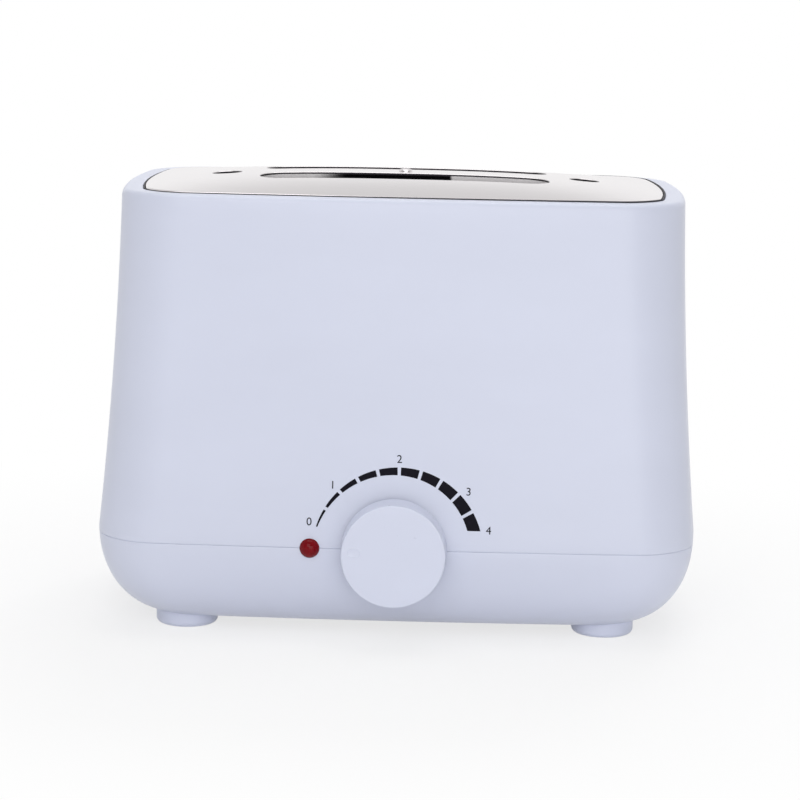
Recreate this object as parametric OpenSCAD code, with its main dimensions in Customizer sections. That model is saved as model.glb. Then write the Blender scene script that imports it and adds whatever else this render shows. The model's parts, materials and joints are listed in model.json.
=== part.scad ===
// Countertop heater for roll-on wax cartridges: a tapered casing with a domed steel deck,
// two heated wells under long slots, and one turning knob on the seam.
// Millimetres. X runs along the front, the front faces -Y, Z is up from the table.

/* [Casing] */
// Width where the casing is widest
belly_w = 250; // [240:1:262]
// Depth where the casing is deepest
belly_d = 161; // [156:1:172]
// Width over the rim
rim_w = 233.4; // [228:0.2:238]
// Depth over the rim
rim_d = 144; // [141:0.5:150]
// Height of the rim
rim_z = 180.4; // [176:0.2:188]
// Height of the seam between the upper casing and the base
seam_z = 40.4; // [38:0.2:42]
// How far above the seam the casing is widest
belly_rise = 2.4; // [2:0.1:5]
// Height of the base's underside
floor_z = 4.8; // [4:0.1:6]
// How far the underside draws in from the widest line
floor_inset = 28.2; // [25:0.2:30]
// Plan corner radius at the rim
rim_r = 25; // [23.5:0.5:28]
// Plan corner radius where the casing is widest
belly_r = 23.5; // [22:0.5:27]
// Plan corner radius of the underside
floor_r = 13; // [11:0.5:20]
// How far the long sides bow out
bow = 2.8; // [0:0.1:4]
// How far the short sides bow out
side_bow = 6; // [3:0.1:7]
// Share of the side's taper that is straight, the rest being curved
taper_straight = 0.4; // [0.2:0.05:1]
// Wall of both casings
wall = 2.5; // [2:0.1:3]
// Rounding of the rim's outer edge
rim_fillet = 2.4; // [1.5:0.1:3]
// Width of the flat rim band
rim_band = 8; // [7:0.1:9]
// Width of the ledge inside the rim
ledge_w = 5; // [4:0.1:6]
// Depth of the ledge below the rim
ledge_drop = 3; // [2.5:0.1:4]
// Chamfer of both edges at the seam
seam_chamfer = 0.4; // [0.2:0.05:0.6]
// Height of the locating lip inside the seam
lip_h = 4; // [3:0.5:6]
// Thickness of the locating lip
lip_t = 1.4; // [1.2:0.1:1.8]

/* [Deck] */
// Gap between the rim and the deck
deck_gap = 0.8; // [0.6:0.05:1.2]
// Sheet thickness of the deck
deck_t = 1.2; // [0.8:0.1:1.6]
// Height of the dome above the rim
dome_h = 5.3; // [4:0.1:8]
// Height of the deck's edge above the rim
deck_edge = 0.3; // [0:0.1:0.6]
// Thickness of the gasket under the deck
gasket_t = 1; // [0.6:0.1:1.6]
// Length of each slot
slot_l = 120; // [110:1:126]
// Width of each slot
slot_w = 20.5; // [19.8:0.1:22]
// Corner radius of the slots
slot_r = 9.8; // [8:0.1:9.8]
// Distance of each slot's middle from the centre line
slot_y = 19; // [18.6:0.1:21]
// Diameter of the two round holes
vent_d = 12.6; // [10:0.2:14]
// Distance of each round hole from the middle
vent_x = 75.2; // [74:0.2:82]

/* [Wells] */
// Depth of the wells below the carrier plate
well_depth = 100; // [94:1:104]
// Wall of the wells
well_wall = 1.5; // [1.2:0.1:2]
// Thickness of the wells' bottoms
well_floor = 2; // [1.5:0.1:3]
// Width of the wells' flanges
flange_w = 3.5; // [3:0.1:4]
// Height of the heating bands
band_h = 58; // [40:1:70]
// Thickness of the heating bands
band_t = 2.2; // [1.5:0.1:2.4]
// Height of the heating bands above the wells' bottoms
band_up = 12; // [8:1:16]
// Thickness of the insulating jackets
jacket_t = 2.4; // [1.6:0.1:2.6]
// Thickness of the carrier plate
carrier_t = 1.5; // [1.2:0.1:2]

/* [Control] */
// Diameter of the knob's face
knob_d = 41.6; // [36:0.2:46]
// How far the knob stands out from the casing
knob_reach = 12.4; // [12:0.1:15]
// Gap between the knob and the casing
knob_gap = 0.7; // [0.5:0.1:1]
// Wall of the knob
knob_wall = 2; // [1.6:0.1:2.4]
// Rounding of the knob's front edge
knob_fillet = 1.6; // [1:0.1:2]
// Angle of the knob's mark at rest, anticlockwise from the right
rest_angle = 176; // [165:1:180]
// Diameter of the spindle
spindle_d = 6; // [5.5:0.1:6.5]
// Diameter of the pilot lens
lens_d = 8; // [7:0.1:9]
// Distance of the lens to the left of the knob
lens_x = 33.9; // [32:0.1:37]
// How far the lens stands out
lens_out = 2.6; // [2:0.1:3]
// Diameter of the thermostat's body
thermostat_d = 30; // [26:0.5:32]
// Depth of the thermostat's body
thermostat_t = 14; // [10:0.5:16]

/* [Mains entry] */
// Height of the cord gland
gland_z = 22; // [21:0.5:24]
// Bore of the cord gland
gland_bore = 7.2; // [6:0.1:8]
// Wall of the cord gland
gland_wall = 2; // [1.6:0.1:2.4]

/* [Feet] */
// Diameter of the feet
foot_d = 25.6; // [22:0.2:28]
// Distance of the feet in from the casing's ends
foot_in_x = 38.6; // [35:0.1:41]
// Distance of the feet in from the casing's front and back
foot_in_y = 37; // [35.5:0.1:39.5]
// Rounding of the feet's lower edge
foot_fillet = 2.2; // [1:0.1:3]

/* [Hidden] */
$fn = 64;
eps = 0.01;
fit = 0.05;          // clearance of screws in their holes
run = 0.05;          // radial running clearance of the spindle
slip = 0.3;          // clearance between pieces that slide past one another in assembly

arc_steps = 8;       // steps in each corner of a plan outline
long_steps = 8;      // steps along each long side
short_steps = 5;     // steps along each short side

belly_z = seam_z + belly_rise;
front_y = -belly_d/2;            // the casing's front at the seam
frame_y = knob_reach/2;          // puts the whole object's middle on the origin
foot_x = belly_w/2 - foot_in_x;
foot_y = belly_d/2 - foot_in_y;
ledge_z = rim_z - ledge_drop;
deck_z = ledge_z + gasket_t;     // lower edge of the deck's skirt and lips
deck_inset = rim_band + deck_gap;
deck_a = rim_w/2 - deck_inset;
deck_b = rim_d/2 - deck_inset;
deck_r = rim_r - deck_inset;
dome_z = rim_z + deck_edge;
opening_inset = rim_band + ledge_w;
flange_t = well_wall;
carrier_z = deck_z - flange_t - carrier_t;
well_z = carrier_z - well_depth;
band_z = well_z + band_up;
jacket_up = 6;                   // how far the jacket reaches past the band, up and down
inside_z = floor_z + wall;       // the base's floor, inside
block_z = inside_z + 3;          // the terminal block's underside

boss_r = 5;
upper_boss_x = 89;
upper_boss_y = 45;
upper_boss_h = 26;
lower_boss_x = 104;
lower_boss_y = 20;
lower_boss_h = 34;
rib_t = 2;

screw_r = 1.6;
screw_head_r = 3.2;
screw_head_h = 2.2;
casing_screw_z = 23;             // seat of the casing screws' heads
casing_screw_l = 36;
foot_seat_z = 2.8;               // seat of the foot screws' heads
foot_screw_l = 12;
carrier_screw_l = 14;
bracket_screw_l = 8;
through = 1;                     // how far a cutter reaches past what it cuts
foot_boss_z = 17;

thermostat_y = front_y + wall + 9.5;  // front of the thermostat's bracket
bracket_t = 1.2;
bracket_w = 38;
bracket_foot_z = 20;
bracket_foot_l = 24;
bracket_screw_x = 13;
bracket_rise = 18;               // the bracket's top above the spindle's axis
spindle_socket = 4;              // depth of the spindle's hole in the thermostat's body
tab_w = 6;                       // the thermostat's two blade terminals
tab_t = 0.8;
tab_l = 8;
tab_in = 3;                      // their distance in from the body's edge
bush_r = 5;
bush_l = 6.5;
nut_t = 2.4;
nut_across = 14;
hub_r = 5.6;
hub_l = 9.6;
flat_depth = 1.2;                // how deep the spindle's flat is cut
spring_t = 0.5;
spring_w = 3.4;

gland_y = 70.5;                  // outer face of the gland's pad
pad_r = 9.5;
pad_t = 8;
gland_flange_t = 2;
gland_flange_r = gland_bore/2 + gland_wall + 1.8;
clamp_y = 52;
block_w = 30;
block_d = 17;
block_h = 14;
block_y = 24;
block_screw_x = block_w/6;
block_screw_bite = 4.5;          // how far the terminal block's screws reach into their bosses

feeler_r = 2.5;
feeler_l = 56;
fuse_r = 2.6;
fuse_l = 34;
clip_t = 1;
clip_l = 12;                     // length of the clips under the wells
clip_ear = 6;                    // width of a clip's ears
under_gap = 0.05;                // gap between a well and the rod under it
fuse_lead_r = 0.6;
fuse_lead_l = 8;                 // how far each lead stands out of the fuse

side_steps = 6;                  // rings up the casing's sides
bowl_angles = [0, 14, 26, 37, 47, 56, 64, 71, 77];  // rings round the base's curve, from its underside
dome_long = 2.6;                 // how late the dome falls away along the front
dome_across = 2.4;               // how late it falls away front to back
dome_steps = [1, 0.975, 0.94, 0.9, 0.85, 0.78, 0.68, 0.54, 0.34, 0.08];  // rings of the deck, edge to middle

deck_screw_r = 2;
deck_screw_l = 8.4;               // ends just above the carrier plate
deck_top = dome_z + dome_h;
standoff_top = deck_top - deck_t;
clamp_x = gland_bore/2 + 5;
bracket_screw_y = thermostat_y + bracket_t + bracket_foot_l - 7;

knob_y = front_y - knob_reach;           // the knob's face
knob_back = front_y - knob_gap;
spindle_y = knob_y + knob_wall + 1.4;    // front end of the spindle
rest_turn = rest_angle - 90;             // turn of the knob's mark from straight up
mark_depth = 0.5;
lens_curve = bow*pow(2*(lens_x - lens_d/2)/belly_w, 2) - 0.02;   // how much further back the front is there
lens_front = front_y + lens_curve;
lens_shaft_r = lens_d/2 - 0.5;
lens_sphere_r = (pow(lens_d/2, 2) + pow(lens_out, 2))/(2*lens_out);

shell_white = [0.86, 0.87, 0.93];
steel = [0.80, 0.80, 0.80];
zinc = [0.62, 0.63, 0.66];
alloy = [0.75, 0.76, 0.78];
black = [0.08, 0.08, 0.09];
brass = [0.80, 0.65, 0.30];
copper = [0.75, 0.45, 0.30];
lens_red = [0.60, 0.05, 0.08];
mica = [0.70, 0.62, 0.48];
felt = [0.90, 0.90, 0.86];
ceramic = [0.90, 0.88, 0.82];
nylon = [0.92, 0.92, 0.90];

module in_frame() { translate([0, frame_y, 0]) children(); }
module four_ways(x, y) { for (sx = [-1, 1], sy = [-1, 1]) translate([sx*x, sy*y, 0]) children(); }
module along_y(y) { translate([0, y, 0]) rotate([-90, 0, 0]) children(); }

// ---- Outlines in plan: rounded rectangles whose sides bow out ----

function arc(cx, cy, r, from) =
    [for (i = [0:arc_steps]) let (t = from + 90*i/arc_steps) [cx + r*cos(t), cy + r*sin(t)]];
function between(p, q, n) = [for (i = [1:n - 1]) p + (q - p)*i/n];
function bowed(p, a, b) = [p.x*(1 - side_bow/a*pow(p.y/b, 2)), p.y*(1 - bow/b*pow(p.x/a, 2))];
function outline(a, b, r) = let (u = a - r, v = b - r, points = [
        each arc(u, v, r, 0), each between([u, b], [-u, b], long_steps),
        each arc(-u, v, r, 90), each between([-a, v], [-a, -v], short_steps),
        each arc(-u, -v, r, 180), each between([-u, -b], [u, -b], long_steps),
        each arc(u, -v, r, 270), each between([a, -v], [a, v], short_steps)])
    [for (p = points) bowed(p, a, b)];
function at_height(points, z) = [for (p = points) [p.x, p.y, z]];

// A solid through rings of equal point counts, from the lowest to the highest, closed at both ends
module loft(rings) {
    n = len(rings[0]);
    m = len(rings);
    polyhedron([for (ring = rings) each ring], [
        [for (i = [0:n - 1]) i],
        for (k = [0:m - 2], i = [0:n - 1]) let (j = (i + 1) % n, low = k*n, high = low + n)
            each [[low + i, high + j, low + j], [low + i, high + i, high + j]],
        [for (i = [n - 1:-1:0]) (m - 1)*n + i]]);
}

// ---- The casing's outer shape at a height, drawn in by an inset ----

function rise(z) = (rim_z - z)/(rim_z - belly_z);
function spread(z) = taper_straight*rise(z) + (1 - taper_straight)*pow(rise(z), 2);
function draw_in(z, low) = 1 - sqrt(1 - pow((belly_z - z)/(belly_z - low), 2));
function side_ring(z, inset) = at_height(outline(
    rim_w/2 + (belly_w - rim_w)/2*spread(z) - inset,
    rim_d/2 + (belly_d - rim_d)/2*spread(z) - inset,
    rim_r + (belly_r - rim_r)*spread(z) - inset), z);
function bowl_ring(z, inset) = let (k = draw_in(z, floor_z + inset)) at_height(outline(
    belly_w/2 - inset - (floor_inset - inset)*k,
    belly_d/2 - inset - (floor_inset - inset)*k,
    belly_r - inset - (belly_r - floor_r)*k), z);
function bowl_z(angle, inset) = belly_z - (belly_z - floor_z - inset)*cos(angle);
function chamfered(ring, inset, z) = [for (p = ring) [p.x*(1 - inset*2/belly_w), p.y*(1 - inset*2/belly_d), z]];

module upper_outside() loft([
    chamfered(bowl_ring(seam_z, 0), seam_chamfer, seam_z),
    bowl_ring(seam_z + seam_chamfer, 0),
    for (k = [0:side_steps]) side_ring(belly_z + (rim_z - rim_fillet - belly_z)*k/side_steps, 0),
    for (t = [30, 60, 90]) let (ring = side_ring(rim_z, rim_fillet*(1 - cos(t))))
        at_height(ring, rim_z - rim_fillet*(1 - sin(t)))]);

module upper_inside() loft([
    bowl_ring(seam_z - 1, wall),
    for (k = [0:side_steps]) side_ring(belly_z + (ledge_z - wall - belly_z)*k/side_steps, wall)]);

module rim_prism(inset, z0, z1)
    translate([0, 0, z0]) linear_extrude(z1 - z0)
        polygon(outline(rim_w/2 - inset, rim_d/2 - inset, rim_r - inset));

module base_outside() loft([
    for (t = bowl_angles) bowl_ring(bowl_z(t, 0), 0),
    bowl_ring(seam_z - seam_chamfer, 0),
    chamfered(bowl_ring(seam_z, 0), seam_chamfer, seam_z)]);

module base_inside() loft([
    for (t = bowl_angles) bowl_ring(bowl_z(t, wall), wall),
    bowl_ring(seam_z + 1, wall)]);

// The two holes that both casings share at the seam, and the gaps that they need in the base's lip
seam_hole_places = [[0, spindle_d/2 + 1], [-lens_x, lens_shaft_r + 0.1]];   // x and radius of each
module seam_holes() for (hole = seam_hole_places)
    translate([hole[0], 0, seam_z]) along_y(front_y - 5) cylinder(r = hole[1], h = 12);
module lip_gaps() for (hole = seam_hole_places)
    translate([hole[0] - hole[1] - slip, front_y + wall - slip, seam_z - 0.5])
        cube([2*(hole[1] + slip), lip_t + 3, lip_h + 2]);

module rounded(l, w, r) {
    square([l - 2*r, w], center = true);
    square([l, w - 2*r], center = true);
    for (sx = [-1, 1], sy = [-1, 1]) translate([sx*(l/2 - r), sy*(w/2 - r)]) circle(r);
}
module slot_shape(grow) rounded(slot_l + 2*grow, slot_w + 2*grow, slot_r + grow);
module slot_prism(grow, z0, z1) translate([0, 0, z0]) linear_extrude(z1 - z0) slot_shape(grow);

// ---- Casings ----

module upper_bosses() {
    four_ways(upper_boss_x, upper_boss_y) translate([0, 0, carrier_z - upper_boss_h])
        cylinder(r = boss_r, h = upper_boss_h);
    for (sx = [-1, 1], sy = [-1, 1]) translate([sx*upper_boss_x, sy*upper_boss_y, 0]) {
        rotate(sx > 0 ? 0 : 180) gusset(30, carrier_z - upper_boss_h, ledge_z - wall + eps);
        rotate(sy*90) gusset(30, carrier_z - upper_boss_h, ledge_z - wall + eps);
    }
    for (sx = [-1, 1], sy = [-1, 1]) translate([sx*lower_boss_x, sy*lower_boss_y, 0]) {
        translate([0, 0, seam_z]) cylinder(r = boss_r, h = lower_boss_h);
        rotate(sx > 0 ? 0 : 180) gusset(30, seam_z + lip_h + 1, seam_z + lower_boss_h);
    }
}
// A rib that runs outwards from a boss to the wall
module gusset(l, z0, z1) translate([0, -rib_t/2, z0]) cube([l, rib_t, z1 - z0]);

module upper_casing() color(shell_white) in_frame() difference() {
    upper_outside();
    difference() {
        upper_inside();
        upper_bosses();
    }
    rim_prism(rim_band, ledge_z, rim_z + 5);
    difference() {
        rim_prism(opening_inset, carrier_z - 1, rim_z + 5);
        upper_bosses();
    }
    difference() {
        rim_prism(wall + 0.5, ledge_z - wall - 2, rim_z - wall);
        rim_prism(rim_band - 2, ledge_z - wall - 3, rim_z);
        translate([0, 0, -2]) upper_bosses();
    }
    seam_holes();
    four_ways(upper_boss_x, upper_boss_y) translate([0, 0, carrier_z - 16])
        cylinder(r = screw_r + fit, h = 20);
    four_ways(lower_boss_x, lower_boss_y) translate([0, 0, seam_z - 1])
        cylinder(r = screw_r + fit, h = casing_screw_z + casing_screw_l + 2 - seam_z);
}

module base_bosses() {
    four_ways(lower_boss_x, lower_boss_y) cylinder(r = boss_r, h = seam_z);
    four_ways(foot_x, foot_y) cylinder(r = boss_r, h = foot_boss_z);
    for (sx = [-1, 1]) {
        translate([sx*bracket_screw_x, bracket_screw_y, 0]) cylinder(r = 4, h = bracket_foot_z);
        translate([sx*clamp_x, clamp_y, 0]) cylinder(r = 3.6, h = gland_z);
    }
    for (sx = [-1, 1]) translate([sx*block_screw_x, block_y, 0]) cylinder(r = 3.4, h = block_z);
    gland_pad(30);
}
// The pad that the gland passes through, with a recess that takes the gland's flange
module gland_pad(l) translate([0, gland_y - pad_t, gland_z]) rotate([-90, 0, 0]) cylinder(r = pad_r, h = l);
module gland_recess() translate([0, gland_y, gland_z]) rotate([-90, 0, 0])
    cylinder(r = gland_flange_r + slip, h = 30);

module base_lip() {
    difference() {
        translate([0, 0, seam_z - 3]) linear_extrude(3 + lip_h) polygon(lip_outline(0));
        translate([0, 0, seam_z - 4]) linear_extrude(5 + lip_h) polygon(lip_outline(lip_t));
    }
}
function lip_outline(inset) = [for (p = bowl_ring(seam_z, wall + 0.1 + inset)) [p.x, p.y]];

module vent_slots()
    for (sx = [-1, 1], k = [-3:3]) translate([sx*52 + k*6, -4, floor_z - 1])
        linear_extrude(wall + 3) rounded(3, 34, 1.4);

module base_casing() color(shell_white) in_frame() difference() {
    union() {
        difference() {
            union() {
                base_outside();
                gland_pad(pad_t);
            }
            difference() {
                base_inside();
                base_bosses();
            }
        }
        base_lip();
    }
    seam_holes();
    lip_gaps();
    translate([0, gland_y - 20, gland_z]) rotate([-90, 0, 0])
        cylinder(r = gland_bore/2 + gland_wall + fit, h = 40);
    four_ways(lower_boss_x, lower_boss_y) {
        cylinder(r = screw_head_r + 0.4, h = casing_screw_z);
        cylinder(r = screw_r + fit, h = seam_z + 1);
    }
    four_ways(foot_x, foot_y) cylinder(r = screw_r + fit, h = foot_seat_z + foot_screw_l + 1);
    for (sx = [-1, 1]) {
        translate([sx*bracket_screw_x, bracket_screw_y, bracket_foot_z - 8])
            cylinder(r = screw_r + fit, h = 20);
        translate([sx*clamp_x, clamp_y, gland_z - 8]) cylinder(r = screw_r + fit, h = 20);
    }
    for (sx = [-1, 1]) translate([sx*block_screw_x, block_y, block_z - block_screw_bite - 0.5])
        cylinder(r = screw_r + fit, h = 20);
    gland_recess();
    vent_slots();
}

// ---- Deck ----

function dome(x, y, a, b, h) =
    h*(1 - pow(min(1, abs(x)/a), dome_long))*(1 - pow(min(1, abs(y)/b), dome_across));
// The domed block under the deck's top face, or under its lower face when an inset is given
module dome_block(inset, z0) {
    a = deck_a - inset;
    b = deck_b - inset;
    edge = outline(a, b, deck_r - inset);
    loft([
        at_height(edge, z0),
        for (s = dome_steps) [for (p = edge)
            [p.x*s, p.y*s, dome_z - inset - (s == 1 ? 0.6 : 0) + dome(p.x*s, p.y*s, a, b, dome_h)]]]);
}

module deck_plate() color(steel) in_frame() difference() {
    dome_block(0, deck_z);
    difference() {
        dome_block(deck_t, deck_z - 1);
        for (sy = [-1, 1]) translate([0, sy*slot_y, 0]) slot_prism(deck_t, deck_z - 2, dome_z + dome_h + 1);
    }
    for (sy = [-1, 1]) translate([0, sy*slot_y, 0]) slot_prism(0, deck_z - 3, dome_z + dome_h + 2);
    for (sx = [-1, 1]) translate([sx*vent_x, 0, deck_z]) cylinder(d = vent_d, h = 20);
    translate([0, 0, deck_z]) cylinder(r = deck_screw_r + 0.2, h = 20);
}

module deck_gasket() color(black) in_frame() {
    difference() {
        rim_prism(rim_band, ledge_z, deck_z);
        rim_prism(opening_inset - 1, ledge_z - 1, deck_z + 1);
    }
    difference() {
        rim_prism(rim_band, deck_z - eps, rim_z - 0.5);
        rim_prism(deck_inset - 0.1, deck_z - 1, rim_z);
    }
}

module deck_standoff() color(zinc) in_frame() difference() {
    translate([0, 0, carrier_z + carrier_t]) cylinder(r = 4.2, h = standoff_top - carrier_z - carrier_t - 0.05);
    translate([0, 0, carrier_z]) cylinder(r = deck_screw_r + fit, h = 30);
}
module deck_screw() color(steel) in_frame() {
    translate([0, 0, deck_top + 0.02]) intersection() {
        cylinder(r = 3.4, h = 1.8);
        translate([0, 0, -3.4]) sphere(r = 5.2);
    }
    translate([0, 0, deck_top - deck_screw_l]) cylinder(r = deck_screw_r, h = deck_screw_l + 0.1);
}

module carrier_plate() color(zinc) in_frame() difference() {
    rim_prism(opening_inset + slip, carrier_z, carrier_z + carrier_t);
    for (sy = [-1, 1]) translate([0, sy*slot_y, 0])
        slot_prism(well_wall + slip, carrier_z - through, carrier_z + carrier_t + through);
    four_ways(upper_boss_x, upper_boss_y) translate([0, 0, carrier_z - through])
        cylinder(r = screw_r + fit, h = carrier_t + 2*through);
    for (sx = [-1, 1]) translate([sx*vent_x, 0, carrier_z - through])
        cylinder(d = vent_d + 2, h = carrier_t + 2*through);
}

// A pan-head screw pointing down from its seat at z = 0
module screw_down(l) {
    cylinder(r = screw_head_r, h = screw_head_h);
    translate([0, 0, -l]) cylinder(r = screw_r, h = l + eps);
}
module screw_up(l) mirror([0, 0, 1]) screw_down(l);

module carrier_screws() color(zinc) in_frame()
    four_ways(upper_boss_x, upper_boss_y) translate([0, 0, carrier_z + carrier_t]) screw_down(carrier_screw_l);

// ---- Wells, heaters and jackets ----

module well(sy) color(alloy) in_frame() translate([0, sy*slot_y, 0]) difference() {
    union() {
        slot_prism(well_wall, well_z, deck_z);
        slot_prism(flange_w, deck_z - flange_t, deck_z);
    }
    slot_prism(0, well_z + well_floor, deck_z + through);
}
module front_well() well(-1);
module rear_well() well(1);

module sleeve(sy, inner, t, z0, z1) in_frame() translate([0, sy*slot_y, 0]) difference() {
    slot_prism(inner + t, z0, z1);
    slot_prism(inner, z0 - through, z1 + through);
}
module front_heater() color(mica) sleeve(-1, well_wall, band_t, band_z, band_z + band_h);
module rear_heater() color(mica) sleeve(1, well_wall, band_t, band_z, band_z + band_h);
module front_jacket() color(felt)
    sleeve(-1, well_wall + band_t, jacket_t, band_z - jacket_up, band_z + band_h + jacket_up);
module rear_jacket() color(felt)
    sleeve(1, well_wall + band_t, jacket_t, band_z - jacket_up, band_z + band_h + jacket_up);

// A rod under a well, held by a saddle clip
module under_well(sy, r) in_frame() translate([0, sy*slot_y, well_z - r - under_gap]) children();
module saddle(r, l) difference() {
    union() {
        translate([-l/2, -r - clip_t, -r - clip_t]) cube([l, 2*(r + clip_t), 2*r + clip_t]);
        translate([-l/2, -r - clip_ear, r - clip_t]) cube([l, 2*(r + clip_ear), clip_t]);
    }
    rotate([0, 90, 0]) cylinder(r = r + fit, h = l + 2*through, center = true);
    translate([-l, -r - fit, 0]) cube([2*l, 2*(r + fit), r + through]);
}
module feeler_bulb() color(copper) under_well(-1, feeler_r)
    rotate([0, 90, 0]) cylinder(r = feeler_r, h = feeler_l, center = true);
module feeler_clip() color(zinc) under_well(-1, feeler_r) saddle(feeler_r, clip_l);
module thermal_fuse() color(ceramic) under_well(1, fuse_r) {
    rotate([0, 90, 0]) cylinder(r = fuse_r, h = fuse_l, center = true);
    rotate([0, 90, 0]) cylinder(r = fuse_lead_r, h = fuse_l + 2*fuse_lead_l, center = true);
}
module fuse_clip() color(zinc) under_well(1, fuse_r) saddle(fuse_r, clip_l);

// ---- Knob, spindle and thermostat ----

module on_axis(y) in_frame() translate([0, 0, seam_z]) along_y(y) children();

// Everything on the knob's axis, with the mark towards -Y of the local frame
module turned() rotate([0, 0, -rest_turn]) children();

module knob() color(shell_white) on_axis(knob_y) difference() {
    rotate_extrude($fn = 96) polygon([
        [0, 0], [knob_d/2 - knob_fillet, 0],
        for (t = [15:15:90]) [knob_d/2 - knob_fillet*(1 - sin(t)), knob_fillet*(1 - cos(t))],
        [knob_d/2 + 0.4, knob_back - knob_y],
        [knob_d/2 + 0.4 - knob_wall, knob_back - knob_y],
        [knob_d/2 - knob_wall, knob_wall],
        [hub_r, knob_wall], [hub_r, knob_wall + hub_l - 1], [0, knob_wall + hub_l - 1]]);
    difference() {
        translate([0, 0, spindle_y - knob_y]) cylinder(r = spindle_d/2 + run, h = 30);
        turned() translate([-10, spindle_d/2 - flat_depth + spring_t + 0.2, 0]) cube([20, 20, 40]);
    }
    turned() translate([0, -(knob_d/2 - 5.5), -eps]) mark_shape();
}
module mark_shape() linear_extrude(mark_depth) rounded(3.2, 4.8, 1.2);

module knob_spring() color(zinc) on_axis(spindle_y + 1.5) turned()
    translate([-spring_w/2, spindle_d/2 - flat_depth + 0.1, 0]) cube([spring_w, spring_t, 5.5]);

module spindle() color(zinc) on_axis(spindle_y + 0.05) difference() {
    cylinder(d = spindle_d, h = thermostat_y + bracket_t + 3 - spindle_y);
    turned() translate([-10, spindle_d/2 - flat_depth, -1]) cube([20, 10, 10.5]);
}

module thermostat_body() color(ceramic) on_axis(thermostat_y + bracket_t) difference() {
    union() {
        cylinder(d = thermostat_d, h = thermostat_t);
        translate([0, 0, -bracket_t - bush_l]) cylinder(r = bush_r, h = bush_l + bracket_t + eps);
        for (sx = [-1, 1]) translate([
            sx*(thermostat_d/2 - tab_in) - tab_w/2, -tab_t/2, thermostat_t - eps]) cube([tab_w, tab_t, tab_l]);
    }
    translate([0, 0, -bracket_t - bush_l - through])
        cylinder(r = spindle_d/2 + run, h = bracket_t + bush_l + through + spindle_socket);
}

module thermostat_bracket() color(zinc) in_frame() difference() {
    union() {
        translate([-bracket_w/2, thermostat_y, bracket_foot_z]) 
            cube([bracket_w, bracket_t, seam_z + bracket_rise - bracket_foot_z]);
        translate([-bracket_w/2, thermostat_y, bracket_foot_z]) cube([bracket_w, bracket_foot_l, bracket_t]);
    }
    translate([0, 0, seam_z]) along_y(thermostat_y - through)
        cylinder(r = bush_r + fit, h = bracket_t + 2*through);
    for (sx = [-1, 1]) translate([sx*bracket_screw_x, bracket_screw_y, bracket_foot_z - through])
        cylinder(r = screw_r + fit, h = bracket_t + 2*through);
}
module thermostat_nut() color(zinc) on_axis(thermostat_y - nut_t) difference() {
    cylinder(d = nut_across/cos(30), h = nut_t, $fn = 6);
    translate([0, 0, -through]) cylinder(r = bush_r + fit, h = nut_t + 2*through);
}
module bracket_screws() color(zinc) in_frame()
    for (sx = [-1, 1]) translate([sx*bracket_screw_x, bracket_screw_y, bracket_foot_z + bracket_t])
        screw_down(bracket_screw_l);

// ---- Pilot light ----

module at_lens(y) in_frame() translate([-lens_x, 0, seam_z]) along_y(y) children();
module indicator_lens() color(lens_red) at_lens(lens_front) {
    difference() {
        union() {
            intersection() {
                translate([0, 0, lens_sphere_r - lens_out]) sphere(r = lens_sphere_r, $fn = 96);
                translate([0, 0, -lens_out - 1]) cylinder(d = lens_d, h = lens_out + 1);
            }
            translate([0, 0, -eps]) cylinder(r = lens_shaft_r, h = 9);
        }
        translate([0, 0, 1]) cylinder(r = lens_shaft_r - 1, h = 10);
    }
}
module lens_clip() color(zinc) at_lens(front_y + wall + 2.2) difference() {
    cylinder(r = lens_shaft_r + 2.4, h = 0.6);
    translate([0, 0, -1]) cylinder(r = lens_shaft_r + fit, h = 3);
}
module neon_lamp() color([0.9, 0.6, 0.4]) at_lens(lens_front + 1.6) {
    cylinder(r = lens_shaft_r - 1.05, h = 12);
    for (sx = [-1, 1]) translate([sx*1, 0, 12 - eps]) cylinder(r = 0.3, h = 8);
}

// ---- Mains entry ----

module terminal_block() color(nylon) in_frame() difference() {
    translate([-block_w/2, block_y - block_d/2, block_z]) cube([block_w, block_d, block_h]);
    for (k = [-1:1]) translate([k*block_w/3, block_y, block_z + 6]) {
        rotate([90, 0, 0]) cylinder(r = 2, h = block_d + 2, center = true);
        for (sy = [-1, 1]) translate([0, sy*block_d/4, 0]) cylinder(r = 1.9, h = 20);
    }
    for (sx = [-1, 1]) translate([sx*block_screw_x, block_y, block_z - 1]) cylinder(r = screw_r + fit, h = 20);
}
module terminal_screws() color(brass) in_frame()
    for (k = [-1:1], sy = [-1, 1]) translate([k*block_w/3, block_y + sy*block_d/4, block_z + 6])
        cylinder(r = 1.85, h = block_h - 7);
module block_screws() color(zinc) in_frame() for (sx = [-1, 1])
    translate([sx*block_screw_x, block_y, block_z + block_h]) screw_down(block_h + block_screw_bite);

module cord_gland() color(black) in_frame() translate([0, gland_y, gland_z]) rotate([-90, 0, 0]) difference() {
    union() {
        cylinder(r = gland_flange_r, h = gland_flange_t);
        translate([0, 0, -12]) cylinder(r = gland_bore/2 + gland_wall, h = 12 + eps);
    }
    translate([0, 0, -13]) cylinder(d = gland_bore, h = 20);
}
module cord_clamp() color(nylon) in_frame() translate([0, clamp_y, gland_z]) difference() {
    translate([-clamp_x - 4, -4, 0]) cube([2*clamp_x + 8, 8, gland_bore/2 + 2.5]);
    rotate([90, 0, 0]) cylinder(d = gland_bore, h = 10, center = true);
    for (sx = [-1, 1]) translate([sx*clamp_x, 0, -1]) cylinder(r = screw_r + fit, h = 12);
}
module clamp_screws() color(zinc) in_frame()
    for (sx = [-1, 1]) translate([sx*clamp_x, clamp_y, gland_z + gland_bore/2 + 2.5]) screw_down(12);

// ---- Feet and casing screws ----

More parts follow.
